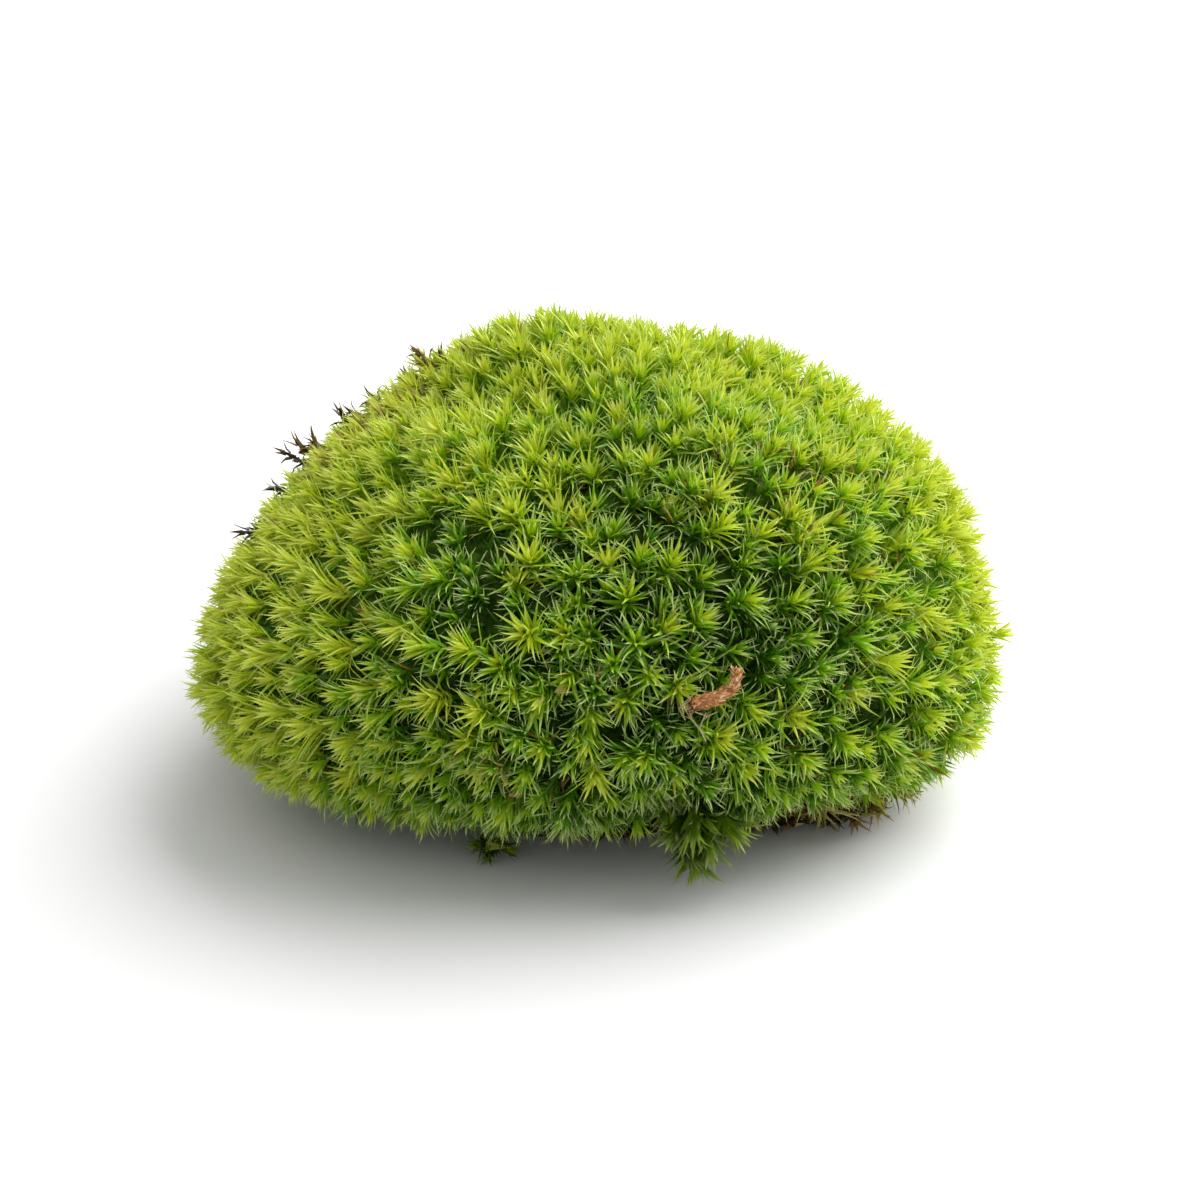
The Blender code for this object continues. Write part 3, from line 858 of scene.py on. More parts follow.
# The skirt is open where the fringe is lifted off the foot
in_skirt &= nearness(unit(hollows - BUN_CENTRE), *LIFTED) < 0.5
skirt = hollows[in_skirt]
skirt = skirt[spaced_choice(skirt, SKIRT_SHOOTS, tips)]
skirt_axes, skirt_combs, _, skirt_tones = stance(skirt, seed=24)
skirt_form = leafy_shoots(
    skirt, skirt_axes, np.full(len(skirt), SKIRT_SIZE), skirt_tones + SKIRT_PAINTED_SHADE, SKIRT_LEAVES,
    seed=120, comb=SKIRT_COMBING * skirt_combs, spread=SKIRT_SPREAD, stem=5 * MM,
)
skirt_form[2][:, 1] *= SKIRT_HAIR

# %% A few more, listed one by one at the front
# x, y, z in mm, azimuth, elevation, size and tone
HANGING = (
    (0.5, -39.6, 9.8, 268, -58, 1.05, 0.44), (-4.6, -39.8, 9.6, 262, -60, 1.0, 0.50),
    (5.0, -39.6, 9.9, 276, -58, 1.0, 0.46), (9.0, -39.0, 10.4, 270, -54, 0.95, 0.42),
    (-13.0, -38.2, 9.0, 258, -60, 0.95, 0.42), (-24.0, -36.4, 8.6, 240, -58, 0.95, 0.46),
    (-31.0, -35.4, 9.8, 234, -52, 1.0, 0.54), (20.0, -38.2, 10.2, 285, -52, 0.95, 0.46),
)


def set_shoots(rows, leaves, seed, **habit):
    """Shoots from rows of x, y, z in mm, azimuth and elevation in degrees, size and tone."""
    table = np.array(rows)
    axis = np.array([way_of(azimuth, elevation) for azimuth, elevation in table[:, 3:5]])
    return leafy_shoots(table[:, :3] * MM, axis, table[:, 5], table[:, 6], leaves, seed, **habit)


hanging_form = set_shoots(HANGING, 28, 121, comb=(0, 0, -0.6), stem=4 * MM)
make_piece("skirt_shoots", joined([skirt_form, hanging_form]), living_leaf, *CUSHION)

# %% [markdown]
# ## The shade between the shoots
#
# Under the leaves the old stems stand packed and nearly black, and no light comes through. One
# closed lumpy body a few millimetres below the tips gives that shade. Its distance from the
# bun's middle is a smooth mean of the tips' own, less the depth, and lumps are added. Its map
# says how open to the light the shoots stand there, from the deep front to the bright rims.

# %% The shade body
SHADE_DEPTH = 6.4 * MM
SHADE_FLOOR = 3.4 * MM
SHADE_LUMPS, SHADE_LUMP_SIZE, SHADE_RADIUS = 0.9 * MM, 5 * MM, 40 * MM
SHADE_ROWS, SHADE_COLUMNS = 60, 120
REACH_SPREAD = math.radians(5.5)


def closed_globe(rows, columns):
    """Directions from pole to pole in rows, with one corner at each pole, and the triangles."""
    rise = np.linspace(math.pi / 2, -math.pi / 2, rows + 2)[1:-1]
    turn = np.arange(columns) * 2 * math.pi / columns
    rise, turn = np.meshgrid(rise, turn, indexing="ij")
    rings = round_points(np.cos(rise), turn, np.sin(rise)).reshape(-1, 3)
    ways = np.concatenate([rings, [[0, 0, 1]], [[0, 0, -1]]])
    return ways, globe_faces(rows, columns)


def globe_faces(rows, columns):
    """Triangles between rows of corners that close round, and a fan to a corner at each end."""
    here = np.arange(columns)
    after = (here + 1) % columns
    top, last = np.full(columns, rows * columns), (rows - 1) * columns
    upper = np.stack([top, here, after], axis=-1)
    lower = np.stack([top + 1, last + after, last + here], axis=-1)
    return np.concatenate([walls(rows, columns)[:, ::-1], upper, lower])


def cushion_reach(directions):
    """How far the tips reach in each direction: their mean, weighted by nearness in angle."""
    cosine = directions @ ways.T
    weight = np.exp((cosine - cosine.max(axis=1, keepdims=True)) / REACH_SPREAD**2)
    distance = np.linalg.norm(tips - BUN_CENTRE, axis=1)
    return weight @ distance / weight.sum(axis=1)


def shade_surface(directions):
    """Points of the shade body: the tips' reach less the depth, with lumps, above its floor."""
    distance = cushion_reach(directions) - SHADE_DEPTH
    distance += SHADE_LUMPS * smooth_noise(directions * SHADE_RADIUS, SHADE_LUMP_SIZE, 14)
    down = np.minimum(directions[:, 2], -1e-6)
    to_floor = np.where(directions[:, 2] < 0, (SHADE_FLOOR - BUN_CENTRE[2]) / down, np.inf)
    return BUN_CENTRE + directions * np.minimum(distance, to_floor)[:, None]


globe_ways, shade_faces = closed_globe(SHADE_ROWS, SHADE_COLUMNS)
shade_points = shade_surface(globe_ways)
print("shade body from z", round(float(shade_points[:, 2].min()) / MM, 1), "mm")

# %% Finish of the imported stems, with painted shade in the deep front
STEM_TANGLE, TANGLE_HEIGHT = 1.6 * MM, 0.6 * MM
# The upward part of a direction where the shoots begin to open, and where they are open
OPEN_BETWEEN = (-0.2, 0.4)
# Dark and light of the tangle: darker as painted shade in the deep front and lighter as painted
# light on the rims
SHADED_STEMS, LIT_STEMS = ("#0E1A08", "#2E4C12"), ("#3C5A16", "#7A9C32")


def openness_of(directions):
    """How open to the light the shoots stand: 0 in the deep front and below, 1 on the rims."""
    return ramp(directions[:, 2], *OPEN_BETWEEN) * (1 - nearness(directions, *FRONT_MIDDLE))


packed, tree = new_material("packed old moss stems and painted shade")
where = add(tree, "ShaderNodeTexCoord").outputs["Object"]
tangle = add(
    tree, "ShaderNodeTexNoise", {"Vector": where, "Scale": 1 / STEM_TANGLE, "Detail": 6.0}
)
shaded_stem_colour, lit_stem_colour = (
    add(tree, "ShaderNodeValToRGB", {"Fac": tangle}, stops=((0.35, dark), (0.7, light)))
    for dark, light in (SHADED_STEMS, LIT_STEMS)
)
shade_place = add(tree, "ShaderNodeUVMap", uv_map="OFBake")
openness = add(tree, "ShaderNodeSeparateXYZ", {"Vector": shade_place}).outputs["X"]
shade_colour = add(
    tree, "ShaderNodeMix", {FACTOR: openness, FIRST: shaded_stem_colour, SECOND: lit_stem_colour},
    data_type="RGBA",
)
shade_bump = add(tree, "ShaderNodeBump", {"Height": tangle, "Distance": TANGLE_HEIGHT})
shade_shader = add(
    tree, "ShaderNodeBsdfPrincipled",
    {
        "Base Color": shade_colour.outputs[RESULT], "Roughness": 1.0, "Specular IOR Level": 0.05,
        "Normal": shade_bump,
    },
)
add(tree, "ShaderNodeOutputMaterial", {"Surface": shade_shader})
shade_uv = np.zeros((len(shade_points), 2))
shade_uv[:, 0] = openness_of(globe_ways)
make_piece("packed_stems_and_shade", (shade_points, shade_faces, shade_uv), packed, *CUSHION)

# %% [markdown]
# ## Old leaves down between the shoots
#
# Where two shoots lean apart you look down on the older leaves, which stand out of the packed
# stems at all angles. A spiral from the crown to the lower edge spreads them evenly.

# %% Lower leaves
LOWER_LEAVES = 6400
LOWEST_RISE = -0.35
SUNK = 0.4 * MM
# How far they lean aside: 0 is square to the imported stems
LYING = 1.4
# Their tones, darker as painted shade in the deep front and lighter on the rims, and how long
# their hair points are
LOWER_SHADE_AND_LIGHT_TONES = (0.15, 0.50)
LOWER_HAIR = 0.7
LOWER_CHANGE, LOWER_LIMITS, LOWER_WITHERED = 0.07, (0.06, 0.7), 0.5
# Lengths, widths, the mean bend and its spread, and the spreads of sway and twist
LOWER_HABIT = ((2.4 * MM, 4.0 * MM), (0.55 * MM, 0.8 * MM), (0.3, 0.35), 0.15, 0.7)


def leaf_chances(rng, count, lengths, widths, bend, sway, twist):
    """Seeded lengths and widths between two values, bends about a mean, sways and twists about 0."""
    return (
        rng.uniform(*lengths, count), rng.uniform(*widths, count), rng.normal(*bend, count),
        rng.normal(0, sway, count), rng.normal(0, twist, count),
    )


rng = np.random.default_rng(125)
number = np.arange(LOWER_LEAVES) + 0.5
rise = 1 - (1 - LOWEST_RISE) * number / LOWER_LEAVES
lower_ways = round_points(np.sqrt(1 - rise**2), GOLDEN_ANGLE * number, rise)
lower_spots = shade_surface(lower_ways) - SUNK * lower_ways
aside = np.cross(lower_ways, rng.normal(size=lower_ways.shape))
along = unit(lower_ways + LYING * aside)
facing = unit(np.cross(along, rng.normal(size=along.shape)))
lower_tones = between(LOWER_SHADE_AND_LIGHT_TONES, openness_of(lower_ways))
lower_tones += LOWER_CHANGE * rng.normal(size=LOWER_LEAVES)
dead_share = WITHERED_ANYWHERE + LOWER_WITHERED * withered_share(lower_spots)
dead_leaf = rng.random(LOWER_LEAVES) < dead_share
lower_tones = np.where(
    dead_leaf, rng.uniform(*DEAD_TONES, LOWER_LEAVES), np.clip(lower_tones, *LOWER_LIMITS)
)
chances = leaf_chances(rng, LOWER_LEAVES, *LOWER_HABIT)
lower_form = blades(lower_spots, along, facing, *chances, lower_tones)
lower_form[2][:, 1] *= LOWER_HAIR
make_piece("lower_leaves", lower_form, living_leaf, *CUSHION)

# %% [markdown]
# ## Withered moss
#
# Dead leaves and stems keep their shape but lose their green. They dry to straw, then rust
# brown, then nearly black, so they get a palette of their own and let little light through.

# %% Withered leaf material
WITHERED_PALETTE = (
    (0.00, "#120D07"),
    (1.00, "#DCCF94"),
    (0.22, "#33230F"),
    (0.42, "#604420"),
    (0.60, "#8E6C34"),
    (0.74, "#A8934E"),
    (0.86, "#A3A04C"),
)
withered_leaf = leaf_material(
    "withered moss leaf", WITHERED_PALETTE, "#B79A62", tip_share=0.25, through=0.12, glow=0.0
)

# %% [markdown]
# ## Dead shoots on the upper left rim
#
# A few old shoots stick out of the rim there, dried nearly black, each with a handful of
# narrow curled leaves. Most stand on the solid's longest spikes, so their list gives only ways
# from the bun's middle, and each shoot stands at the tip nearest to its way. A few more stand
# between them, given in millimetres.

# %% Dead shoots and small litter in the cushion
DEAD_LEAVES = 9
DEAD_HABIT = {
    "leafy": 3.6 * MM, "length": (1.6 * MM, 3.0 * MM), "width": (0.34 * MM, 0.60 * MM),
    "tilt": (4, 32), "bend": (20, 120), "comb": (-0.6, 0, -0.5), "unruly": 1.6, "faded": 0.0,
}
DEAD_SUNK, LITTER_SUNK = 1.8 * MM, 1.9 * MM
# Which way the dead shoots lean, added to their ways from the bun's middle
DEAD_LEAN = np.array([-0.45, -0.1, 0.05])
# x, y, z in mm, azimuth, elevation, size and tone
DEAD_ON_RIM = (
    (-51.8, 1.2, 34.4, 184, 4, 1.30, 0.16), (-49.8, 0.6, 35.4, 168, 34, 1.05, 0.26),
    (-45.6, 18.0, 41.5, 165, 42, 1.25, 0.42), (-43.2, 18.6, 41.9, 148, 58, 1.20, 0.52),
    (-47.2, 16.0, 40.8, 174, 30, 1.15, 0.20), (-39.4, 22.0, 45.2, 150, 60, 0.95, 0.22),
    (-30.0, 30.0, 48.3, 142, 52, 1.10, 0.62), (-24.8, 32.0, 51.0, 132, 58, 1.00, 0.66),
)
# Azimuth, elevation, tone and length in mm of single dead leaves and crumbs that lie about
LITTER = (
    (260.6, 16.9, 0.66, 1.7), (260.3, -4.2, 0.5, 2.0), (305.6, -0.7, 0.68, 2.2),
    (223, 33, 0.55, 2.2), (226, 17, 0.5, 1.8), (310, 40, 0.7, 2.0), (338, 37, 0.58, 2.6),
    (336, 34, 0.66, 2.4), (254, 3, 0.56, 1.8), (157, 40, 0.6, 2.4), (153, 43, 0.66, 2.2),
)
# Their width and bend, and the spreads of their sway and twist
LITTER_WIDTH, LITTER_BEND, LITTER_SPREADS = 0.45 * MM, 0.7, (0.2, 0.8)

dead_tips = tips[dead]
dead_axes = unit(unit(dead_tips - BUN_CENTRE) + DEAD_LEAN)
dead_form = leafy_shoots(
    dead_tips - DEAD_SUNK * dead_axes, dead_axes, np.ones(len(dead_tips)),
    np.array([tone for *_, tone in DEAD_SHOOTS]), DEAD_LEAVES, seed=131, **DEAD_HABIT,
)
rim_form = set_shoots(DEAD_ON_RIM, DEAD_LEAVES, 133, **DEAD_HABIT)
litter_ways = np.array([way_of(azimuth, elevation) for azimuth, elevation, _, _ in LITTER])
litter_spots = tips[nearest_tips(LITTER)]
rng = np.random.default_rng(132)
litter_along = unit(np.cross(litter_ways, rng.normal(size=litter_ways.shape)))
litter_form = blades(
    litter_spots - LITTER_SUNK * litter_ways, litter_along, litter_ways,
    np.array([length for *_, length in LITTER]) * MM, np.full(len(LITTER), LITTER_WIDTH),
    np.full(len(LITTER), LITTER_BEND),
    *(rng.normal(0, spread, len(LITTER)) for spread in LITTER_SPREADS),
    np.array([tone for _, _, tone, _ in LITTER]),
)
make_piece("dead_shoots", joined([dead_form, rim_form, litter_form]), withered_leaf, *CUSHION)

# %% [markdown]
# ## The brown foot
#
# Under its living shoots, moss leaves a mat of its own dead stems, held together by brown
# rhizoids and crumbs of humus. It was torn off flat. The mat's body is one closed form: rings
# that close over the domed top, come down the side and run in along the ground. Lumps are
# pressed into the side only, so that the underside stays flat.

# %% The mat's body
MAT_COLUMNS, MAT_ROWS = 180, 26
MAT_HALF_LENGTH, MAT_HALF_DEPTH = 40.0 * MM, 28.5 * MM
MAT_RIM, MAT_MIDDLE = 6.2 * MM, 10.5 * MM
BARE_AZIMUTH, BARE_SPREAD = -28.0, 18.0
BARE_REACH, BARE_RISE = 8.4 * MM, 2.4 * MM
LUMP_DEPTH, BIG_LUMP, SMALL_LUMP = 0.9 * MM, 7 * MM, 2.4 * MM
# From the top down: share of the outline, share of the rim's height, and roughness
MAT_PROFILE = np.array(
    [
        (0.30, 1.00, 0.0),
        (0.88, 1.00, 0.7),
        (0.95, 0.74, 1.0),
        (0.985, 0.42, 1.0),
        (1.00, 0.16, 1.0),
        (0.93, 0.00, 0.5),
        (0.40, 0.00, 0.0),
    ]
)


def mat_outline(turn):
    """The oval's distance from the middle, with its bare bulge, and how bare it is there."""
    off = (np.degrees(turn) - BARE_AZIMUTH + 180) % 360 - 180
    bare = np.exp(-((off / BARE_SPREAD) ** 2))
    oval = 1 / np.hypot(np.cos(turn) / MAT_HALF_LENGTH, np.sin(turn) / MAT_HALF_DEPTH)
    return oval + BARE_REACH * bare, bare


def mat_form():
    """The foot, closed, from two parameters: the angle round it and the place on its profile.

    The radius is the oval with its bulge, times the profile's share. The height is the rim's
    times the profile's share of it, and over the top a parabola rises to the middle. Lumps of
    two sizes are then taken off the radius where the profile is rough.
    """
    turn = np.arange(MAT_COLUMNS) * 2 * math.pi / MAT_COLUMNS
    outline, bare = mat_outline(turn)
    place = np.linspace(0, len(MAT_PROFILE) - 1, MAT_ROWS)
    share, up, rough = (
        np.interp(place, range(len(MAT_PROFILE)), column)[:, None] for column in MAT_PROFILE.T
    )
    rim = MAT_RIM + BARE_RISE * bare
    crown = np.where(place[:, None] < 1, 1 - (share / MAT_PROFILE[1, 0]) ** 2, 0.0)
    height = rim * up + (MAT_MIDDLE - rim) * crown
    radius = outline * share
    flat = round_points(radius, turn, height).reshape(-1, 3)
    lumps = 0.8 + 0.4 * smooth_noise(flat, BIG_LUMP, 51)
    lumps += 0.35 * smooth_noise(flat, SMALL_LUMP, 52)
    radius = radius - LUMP_DEPTH * rough * lumps.reshape(radius.shape)
    points = round_points(radius, turn, height).reshape(-1, 3)
    points = np.concatenate([points, [[0, 0, MAT_MIDDLE], [0, 0, 0]]])
    return points, globe_faces(MAT_ROWS, MAT_COLUMNS), np.zeros((len(points), 2))


# %% Humus finish
STAIN_SIZE, CRUMB_SIZE, CRUMB_HEIGHT = 2.2 * MM, 0.9 * MM, 0.7 * MM
DRY_ROUGHNESS = (0.75, 0.98)

humus, tree = new_material("humus and rhizoids")
where = add(tree, "ShaderNodeTexCoord").outputs["Object"]
stains = add(
    tree, "ShaderNodeTexNoise", {"Vector": where, "Scale": 1 / STAIN_SIZE, "Detail": 8.0}
)
crumbs = add(tree, "ShaderNodeTexVoronoi", {"Vector": where, "Scale": 1 / CRUMB_SIZE})
humus_colour = add(
    tree, "ShaderNodeValToRGB", {"Fac": stains},
    stops=((0.30, "#120B06"), (0.72, "#7A5A33"), (0.45, "#2B1A0E"), (0.58, "#4E301A")),
)
relief = add(
    tree, "ShaderNodeMath",
    {0: stains, 1: crumbs.outputs["Distance"]}, operation="SUBTRACT",
)
humus_bump = add(tree, "ShaderNodeBump", {"Height": relief, "Distance": CRUMB_HEIGHT})
dryness = add(
    tree, "ShaderNodeMapRange",
    {
        "Value": stains, "From Min": 0.3, "From Max": 0.7,
        "To Min": DRY_ROUGHNESS[0], "To Max": DRY_ROUGHNESS[1],
    },
)
humus_shader = add(
    tree, "ShaderNodeBsdfPrincipled",
    {"Base Color": humus_colour, "Roughness": dryness, "Normal": humus_bump},
)
add(tree, "ShaderNodeOutputMaterial", {"Surface": humus_shader})
make_piece("humus_mat", mat_form(), humus, *FOOT)

# %% [markdown]
# ## Old stems, rhizoids and dead leaves on the foot
#
# The mat's side is a tangle: old stems lie along it and poke out of it, and dead leaves are
# caught between them. Each stem is a short curved tube that leaves the side, bows out and
# comes back. A third of them are kept for the bare bulge, where they show.

# %% Places on the mat's side
AT_BULGE, BULGE_WIDTH = 0.34, 17
SIDE_HEIGHTS = MAT_PROFILE[5:0:-1, 1]
SIDE_SHARES = MAT_PROFILE[5:0:-1, 0]
LEAST_HEIGHT = 0.12 * MM


def on_mat_side(turn, up, out):
    """Points on the mat's side: angle, share of the rim's height, and distance off the side."""
    outline, bare = mat_outline(turn)
    radius = outline * np.interp(up, SIDE_HEIGHTS, SIDE_SHARES) + out
    height = (MAT_RIM + BARE_RISE * bare) * up
    return round_points(radius, turn, height)


def above_ground(form):
    """The form with the points that would go under the surface raised to just above it."""
    points, faces, uv = form
    return np.maximum(points, [-np.inf, -np.inf, LEAST_HEIGHT]), faces, uv


def round_the_mat(rng, count):
    """Seeded angles round the mat, a third of them at its bare bulge."""
    anywhere = rng.uniform(0, 2 * math.pi, count)
    bulge = np.radians(BARE_AZIMUTH + BULGE_WIDTH * rng.normal(size=count))
    return np.where(rng.random(count) < AT_BULGE, bulge, anywhere)


# %% Old stems
OLD_STEMS = 560
STEM_RADII = (0.07 * MM, 0.20 * MM)
# Along a stem its thickness swells and tapers, and its tone is one of these, by their chances
STEM_TAPER = np.array([0.7, 1, 1, 1, 0.95, 0.9, 0.6])
OLD_TONES = (0.2, 0.35, 0.5, 0.62, 0.76, 0.9)
OLD_CHANCES = (0.22, 0.24, 0.2, 0.18, 0.1, 0.06)
# A stem's height as a share of the side's, how far it climbs, turns and wobbles on its way,
# and in mm how it bows out, how deep its ends are and how rough its line is
STEM_HEIGHTS, STEM_CLIMB, STEM_TURN, STEM_WOBBLE = (0.10, 0.95), 0.22, 0.07, 0.05
STEM_BOW, STEM_SUNK, STEM_ROUGH = (0.1, 1.3), 0.5, 0.15
STEM_LIMITS = (0.07, 1.05)

rng = np.random.default_rng(61)
share = np.linspace(0, 1, len(STEM_TAPER))
turn = round_the_mat(rng, OLD_STEMS)[:, None]
turn = turn + rng.normal(0, STEM_TURN, (OLD_STEMS, 1)) * share
up = rng.uniform(*STEM_HEIGHTS, (OLD_STEMS, 1))
up = up + rng.normal(0, STEM_CLIMB, (OLD_STEMS, 1)) * share
up = np.clip(up + STEM_WOBBLE * rng.normal(size=up.shape), *STEM_LIMITS)
bow = rng.uniform(*STEM_BOW, (OLD_STEMS, 1)) * np.sin(math.pi * share)
out = (bow - STEM_SUNK + STEM_ROUGH * rng.normal(size=bow.shape)) * MM
paths = on_mat_side(turn, up, out)
radii = rng.uniform(*STEM_RADII, (OLD_STEMS, 1)) * STEM_TAPER
stem_tones = rng.choice(OLD_TONES, OLD_STEMS, p=OLD_CHANCES)
stem_form = tubes(paths, radii, stem_tones)

# %% Dead leaves caught between them
CAUGHT_LEAVES = 900
# The caught leaves' lengths, widths, bend, sway and twist, and their tone with its spread
CAUGHT_HABIT = ((1.4 * MM, 3.4 * MM), (0.25 * MM, 0.6 * MM), (0.4, 0.5), 0.2, 0.9)
CAUGHT_TONE = (0.48, 0.2)
# Their heights as shares of the side's, how far out in mm, and how chance turns them
CAUGHT_HEIGHTS, CAUGHT_OUT = (0.12, 1.0), (-0.4, 0.5)
CAUGHT_OUTWARD, CAUGHT_CHANCE = 0.7, np.array([0.8, 0.8, 0.45])
# Tones that chance has moved are kept between these
CHANCE_TONES = (0.05, 0.95)

turn = round_the_mat(rng, CAUGHT_LEAVES)
up = rng.uniform(*CAUGHT_HEIGHTS, CAUGHT_LEAVES)
spots = on_mat_side(turn, up, rng.uniform(*CAUGHT_OUT, CAUGHT_LEAVES) * MM)
outward = round_points(1, turn, np.zeros(CAUGHT_LEAVES))
along = unit(CAUGHT_OUTWARD * outward + rng.normal(size=spots.shape) * CAUGHT_CHANCE)
facing = unit(np.cross(along, rng.normal(size=spots.shape)))
chances = leaf_chances(rng, CAUGHT_LEAVES, *CAUGHT_HABIT)
tones_there = np.clip(rng.normal(*CAUGHT_TONE, CAUGHT_LEAVES), *CHANCE_TONES)
caught = blades(spots, along, facing, *chances, tones_there)
tangle_form = above_ground(joined([stem_form, caught]))
make_piece("old_stems", tangle_form, withered_leaf, *FOOT)

# %% [markdown]
# ## What lies on the bare bulge
#
# The front right of the foot shows single things: a small dead shoot, some straw-coloured
# blades, brown remains of leaves, a cut stem, a young shoot that still grows and a small round
# grey-green bead. They are given in millimetres.

# %% Dead things, listed one by one
# x, y, z in mm, azimuth, elevation, size and tone
DEAD_ON_FOOT = (
    (30.4, -28.0, 4.6, 242, -20, 1.15, 0.84),
    (31.6, -28.0, 6.2, 262, -8, 1.00, 0.76),
    (33.6, -29.4, 9.6, 290, 5, 1.00, 0.58),
    (42.6, -24.2, 5.4, 330, -12, 1.10, 0.86),
    (39.0, -26.4, 3.6, 310, -25, 1.05, 0.66),
    (35.6, -27.4, 2.6, 285, -30, 0.95, 0.50),
    (44.6, -20.2, 3.2, 335, -20, 0.90, 0.60),
)
# The same, with a length in mm in the size's place
STRAWS = (
    (30.6, -29.2, 6.6, 356, -14, 6.6, 0.98),
    (31.2, -29.0, 7.4, 0, -10, 5.6, 0.94),
    (32.4, -29.0, 5.6, 4, -6, 4.8, 0.97),
    (30.2, -28.6, 5.6, 338, -28, 3.8, 0.90),
    (36.4, -28.4, 4.6, 8, 6, 3.6, 0.84),
)
STRAW_WIDTH, STRAW_BEND, STRAW_SWAY, STRAW_TWIST = 0.85 * MM, 0.25, 0.05, 0.3

dead_on_foot = set_shoots(
    DEAD_ON_FOOT, 15, 141, leafy=2.6 * MM, length=(1.8 * MM, 3.2 * MM),
    width=(0.42 * MM, 0.6 * MM), bend=(10, 50), unruly=1.4, faded=0.0, stem=5 * MM,
)
table = np.array(STRAWS)
along = np.array([way_of(azimuth, elevation) for azimuth, elevation in table[:, 3:5]])
facing = unit(np.cross(np.cross(along, [0.0, 0.0, 1.0]), along))
count = len(table)
straws = blades(
    table[:, :3] * MM, along, facing, table[:, 5] * MM, np.full(count, STRAW_WIDTH),
    np.full(count, STRAW_BEND), np.full(count, STRAW_SWAY), np.full(count, STRAW_TWIST),
    table[:, 6],
)
withered_form = above_ground(joined([dead_on_foot, straws]))
make_piece("dead_things_on_foot", withered_form, withered_leaf, *FOOT)

# %% A young shoot, a small one and the bead
LIVE_ON_FOOT = ((38.8, -25.6, 5.4, 315, -4, 0.85, 0.62), (35.6, -27.2, 10.6, 300, 12, 0.7, 0.36))
BEAD_PLACE = np.array([36.1, -27.6, 8.5]) * MM
BEAD_RADIUS = 1.05 * MM
# The bead is a little longer than wide, and flatter still, and its map is one grey-green tone
BEAD_STRETCH, BEAD_MAP = np.array([1.25, 1.0, 0.85]), (0.36, 0.62)
BEAD_ROWS, BEAD_COLUMNS = 12, 20

live_on_foot = set_shoots(LIVE_ON_FOOT, 20, 142, leafy=3.0 * MM, stem=4 * MM)
bead_ways, bead_faces = closed_globe(BEAD_ROWS, BEAD_COLUMNS)
bead_uv = np.tile(BEAD_MAP, (len(bead_ways), 1))
bead = (BEAD_PLACE + BEAD_RADIUS * bead_ways * BEAD_STRETCH, bead_faces, bead_uv)
make_piece("live_things_on_foot", joined([live_on_foot, bead]), living_leaf, *FOOT)

# %% [markdown]
# ## The front tuft
#
# One branched shoot has slipped out of the front edge and hangs nearly down to the surface.
# It is another, coarser kind of growth: its leaves are longer and twice as broad, olive to
# yellow-green, and fan out downwards. The solid marks where it hangs, and these shoots end at
# its tips.

# %% Tuft shoots
# x, y, z in mm, azimuth, elevation, size and tone
TUFT = (
    (12.2, -45.4, 12.6, 262, -30, 1.00, 0.46),
    (14.4, -45.0, 10.4, 285, -48, 0.95, 0.40),
    (11.6, -44.6, 8.8, 258, -62, 0.95, 0.36),
    (12.6, -44.8, 6.8, 285, -72, 0.85, 0.42),
    (17.4, -44.6, 12.2, 312, -24, 0.95, 0.48),
    (9.6, -44.6, 11.8, 235, -22, 0.85, 0.34),
    (13.6, -43.4, 13.4, 272, 12, 0.85, 0.40),
)
TUFT_PALETTE = (
    (0.00, "#101A05"),
    (1.00, "#4E3018"),
    (0.20, "#2C4408"),
    (0.40, "#5C7E0E"),
    (0.55, "#88A81A"),
    (0.70, "#B2C63A"),
    (0.86, "#CFD27A"),
)
# Thicker than the cushion's leaves, so they look darker and a little less light comes through
tuft_leaf = leaf_material(
    "coarse moss leaf", TUFT_PALETTE, "#DDE29A", tip_share=0.4, through=0.45, glow=0.2
)
tuft_form = set_shoots(
    TUFT, 22, 151, leafy=3.6 * MM, length=(3.6 * MM, 5.6 * MM), width=(0.70 * MM, 0.95 * MM),
    tilt=(8, 54), bend=(14, 50), comb=(0, 0, -1.2), faded=0.04, stem=6 * MM,
)
make_piece("tuft_shoots", tuft_form, tuft_leaf, "tuft_moss", ["front_tuft"])

# %% [markdown]
# ## The stray sprig
#
# A small broken sprig lies nearly flat under the front edge, in the shadow: dark olive leaves
# that point to the left, down and right, and one broad pale one across the middle.

# %% Sprig shoots
# x, y, z in mm, azimuth, elevation, size and tone
SPRIG = (
    (-17.0, -32.6, 2.4, 205, -4, 0.90, 0.40),
    (-12.6, -33.4, 2.2, 330, -6, 0.85, 0.36),
    (-15.4, -34.6, 1.9, 262, -8, 0.80, 0.38),
    (-14.6, -33.0, 2.7, 285, 40, 0.70, 0.46),
)
BROAD_PLACE, BROAD_WAY, BROAD_FACING = (-15.6, -34.2, 3.2), (5, -3), (275, 60)
# Length, width, bend, sway, twist and tone of the broad leaf
BROAD_LOOK = (3.6 * MM, 1.0 * MM, 0.3, 0.0, 0.1, 0.72)

# Half dried, so they look dull, with dim tips
sprig_leaf = leaf_material(
    "half dried moss leaf", TUFT_PALETTE, "#A9AC58", tip_share=0.25, through=0.3, glow=0.1
)
sprig_form = set_shoots(
    SPRIG, 15, 161, leafy=2.2 * MM, length=(1.8 * MM, 2.8 * MM), width=(0.4 * MM, 0.62 * MM),
    tilt=(10, 50), faded=0.0, stem=3 * MM,
)
broad = blades(
    np.array([BROAD_PLACE]) * MM, way_of(*BROAD_WAY)[None], way_of(*BROAD_FACING)[None],
    *np.array(BROAD_LOOK)[:, None],
)
sprig_form = above_ground(joined([sprig_form, broad]))
make_piece("sprig_shoots", sprig_form, sprig_leaf, "sprig_moss", ["stray_sprig"])

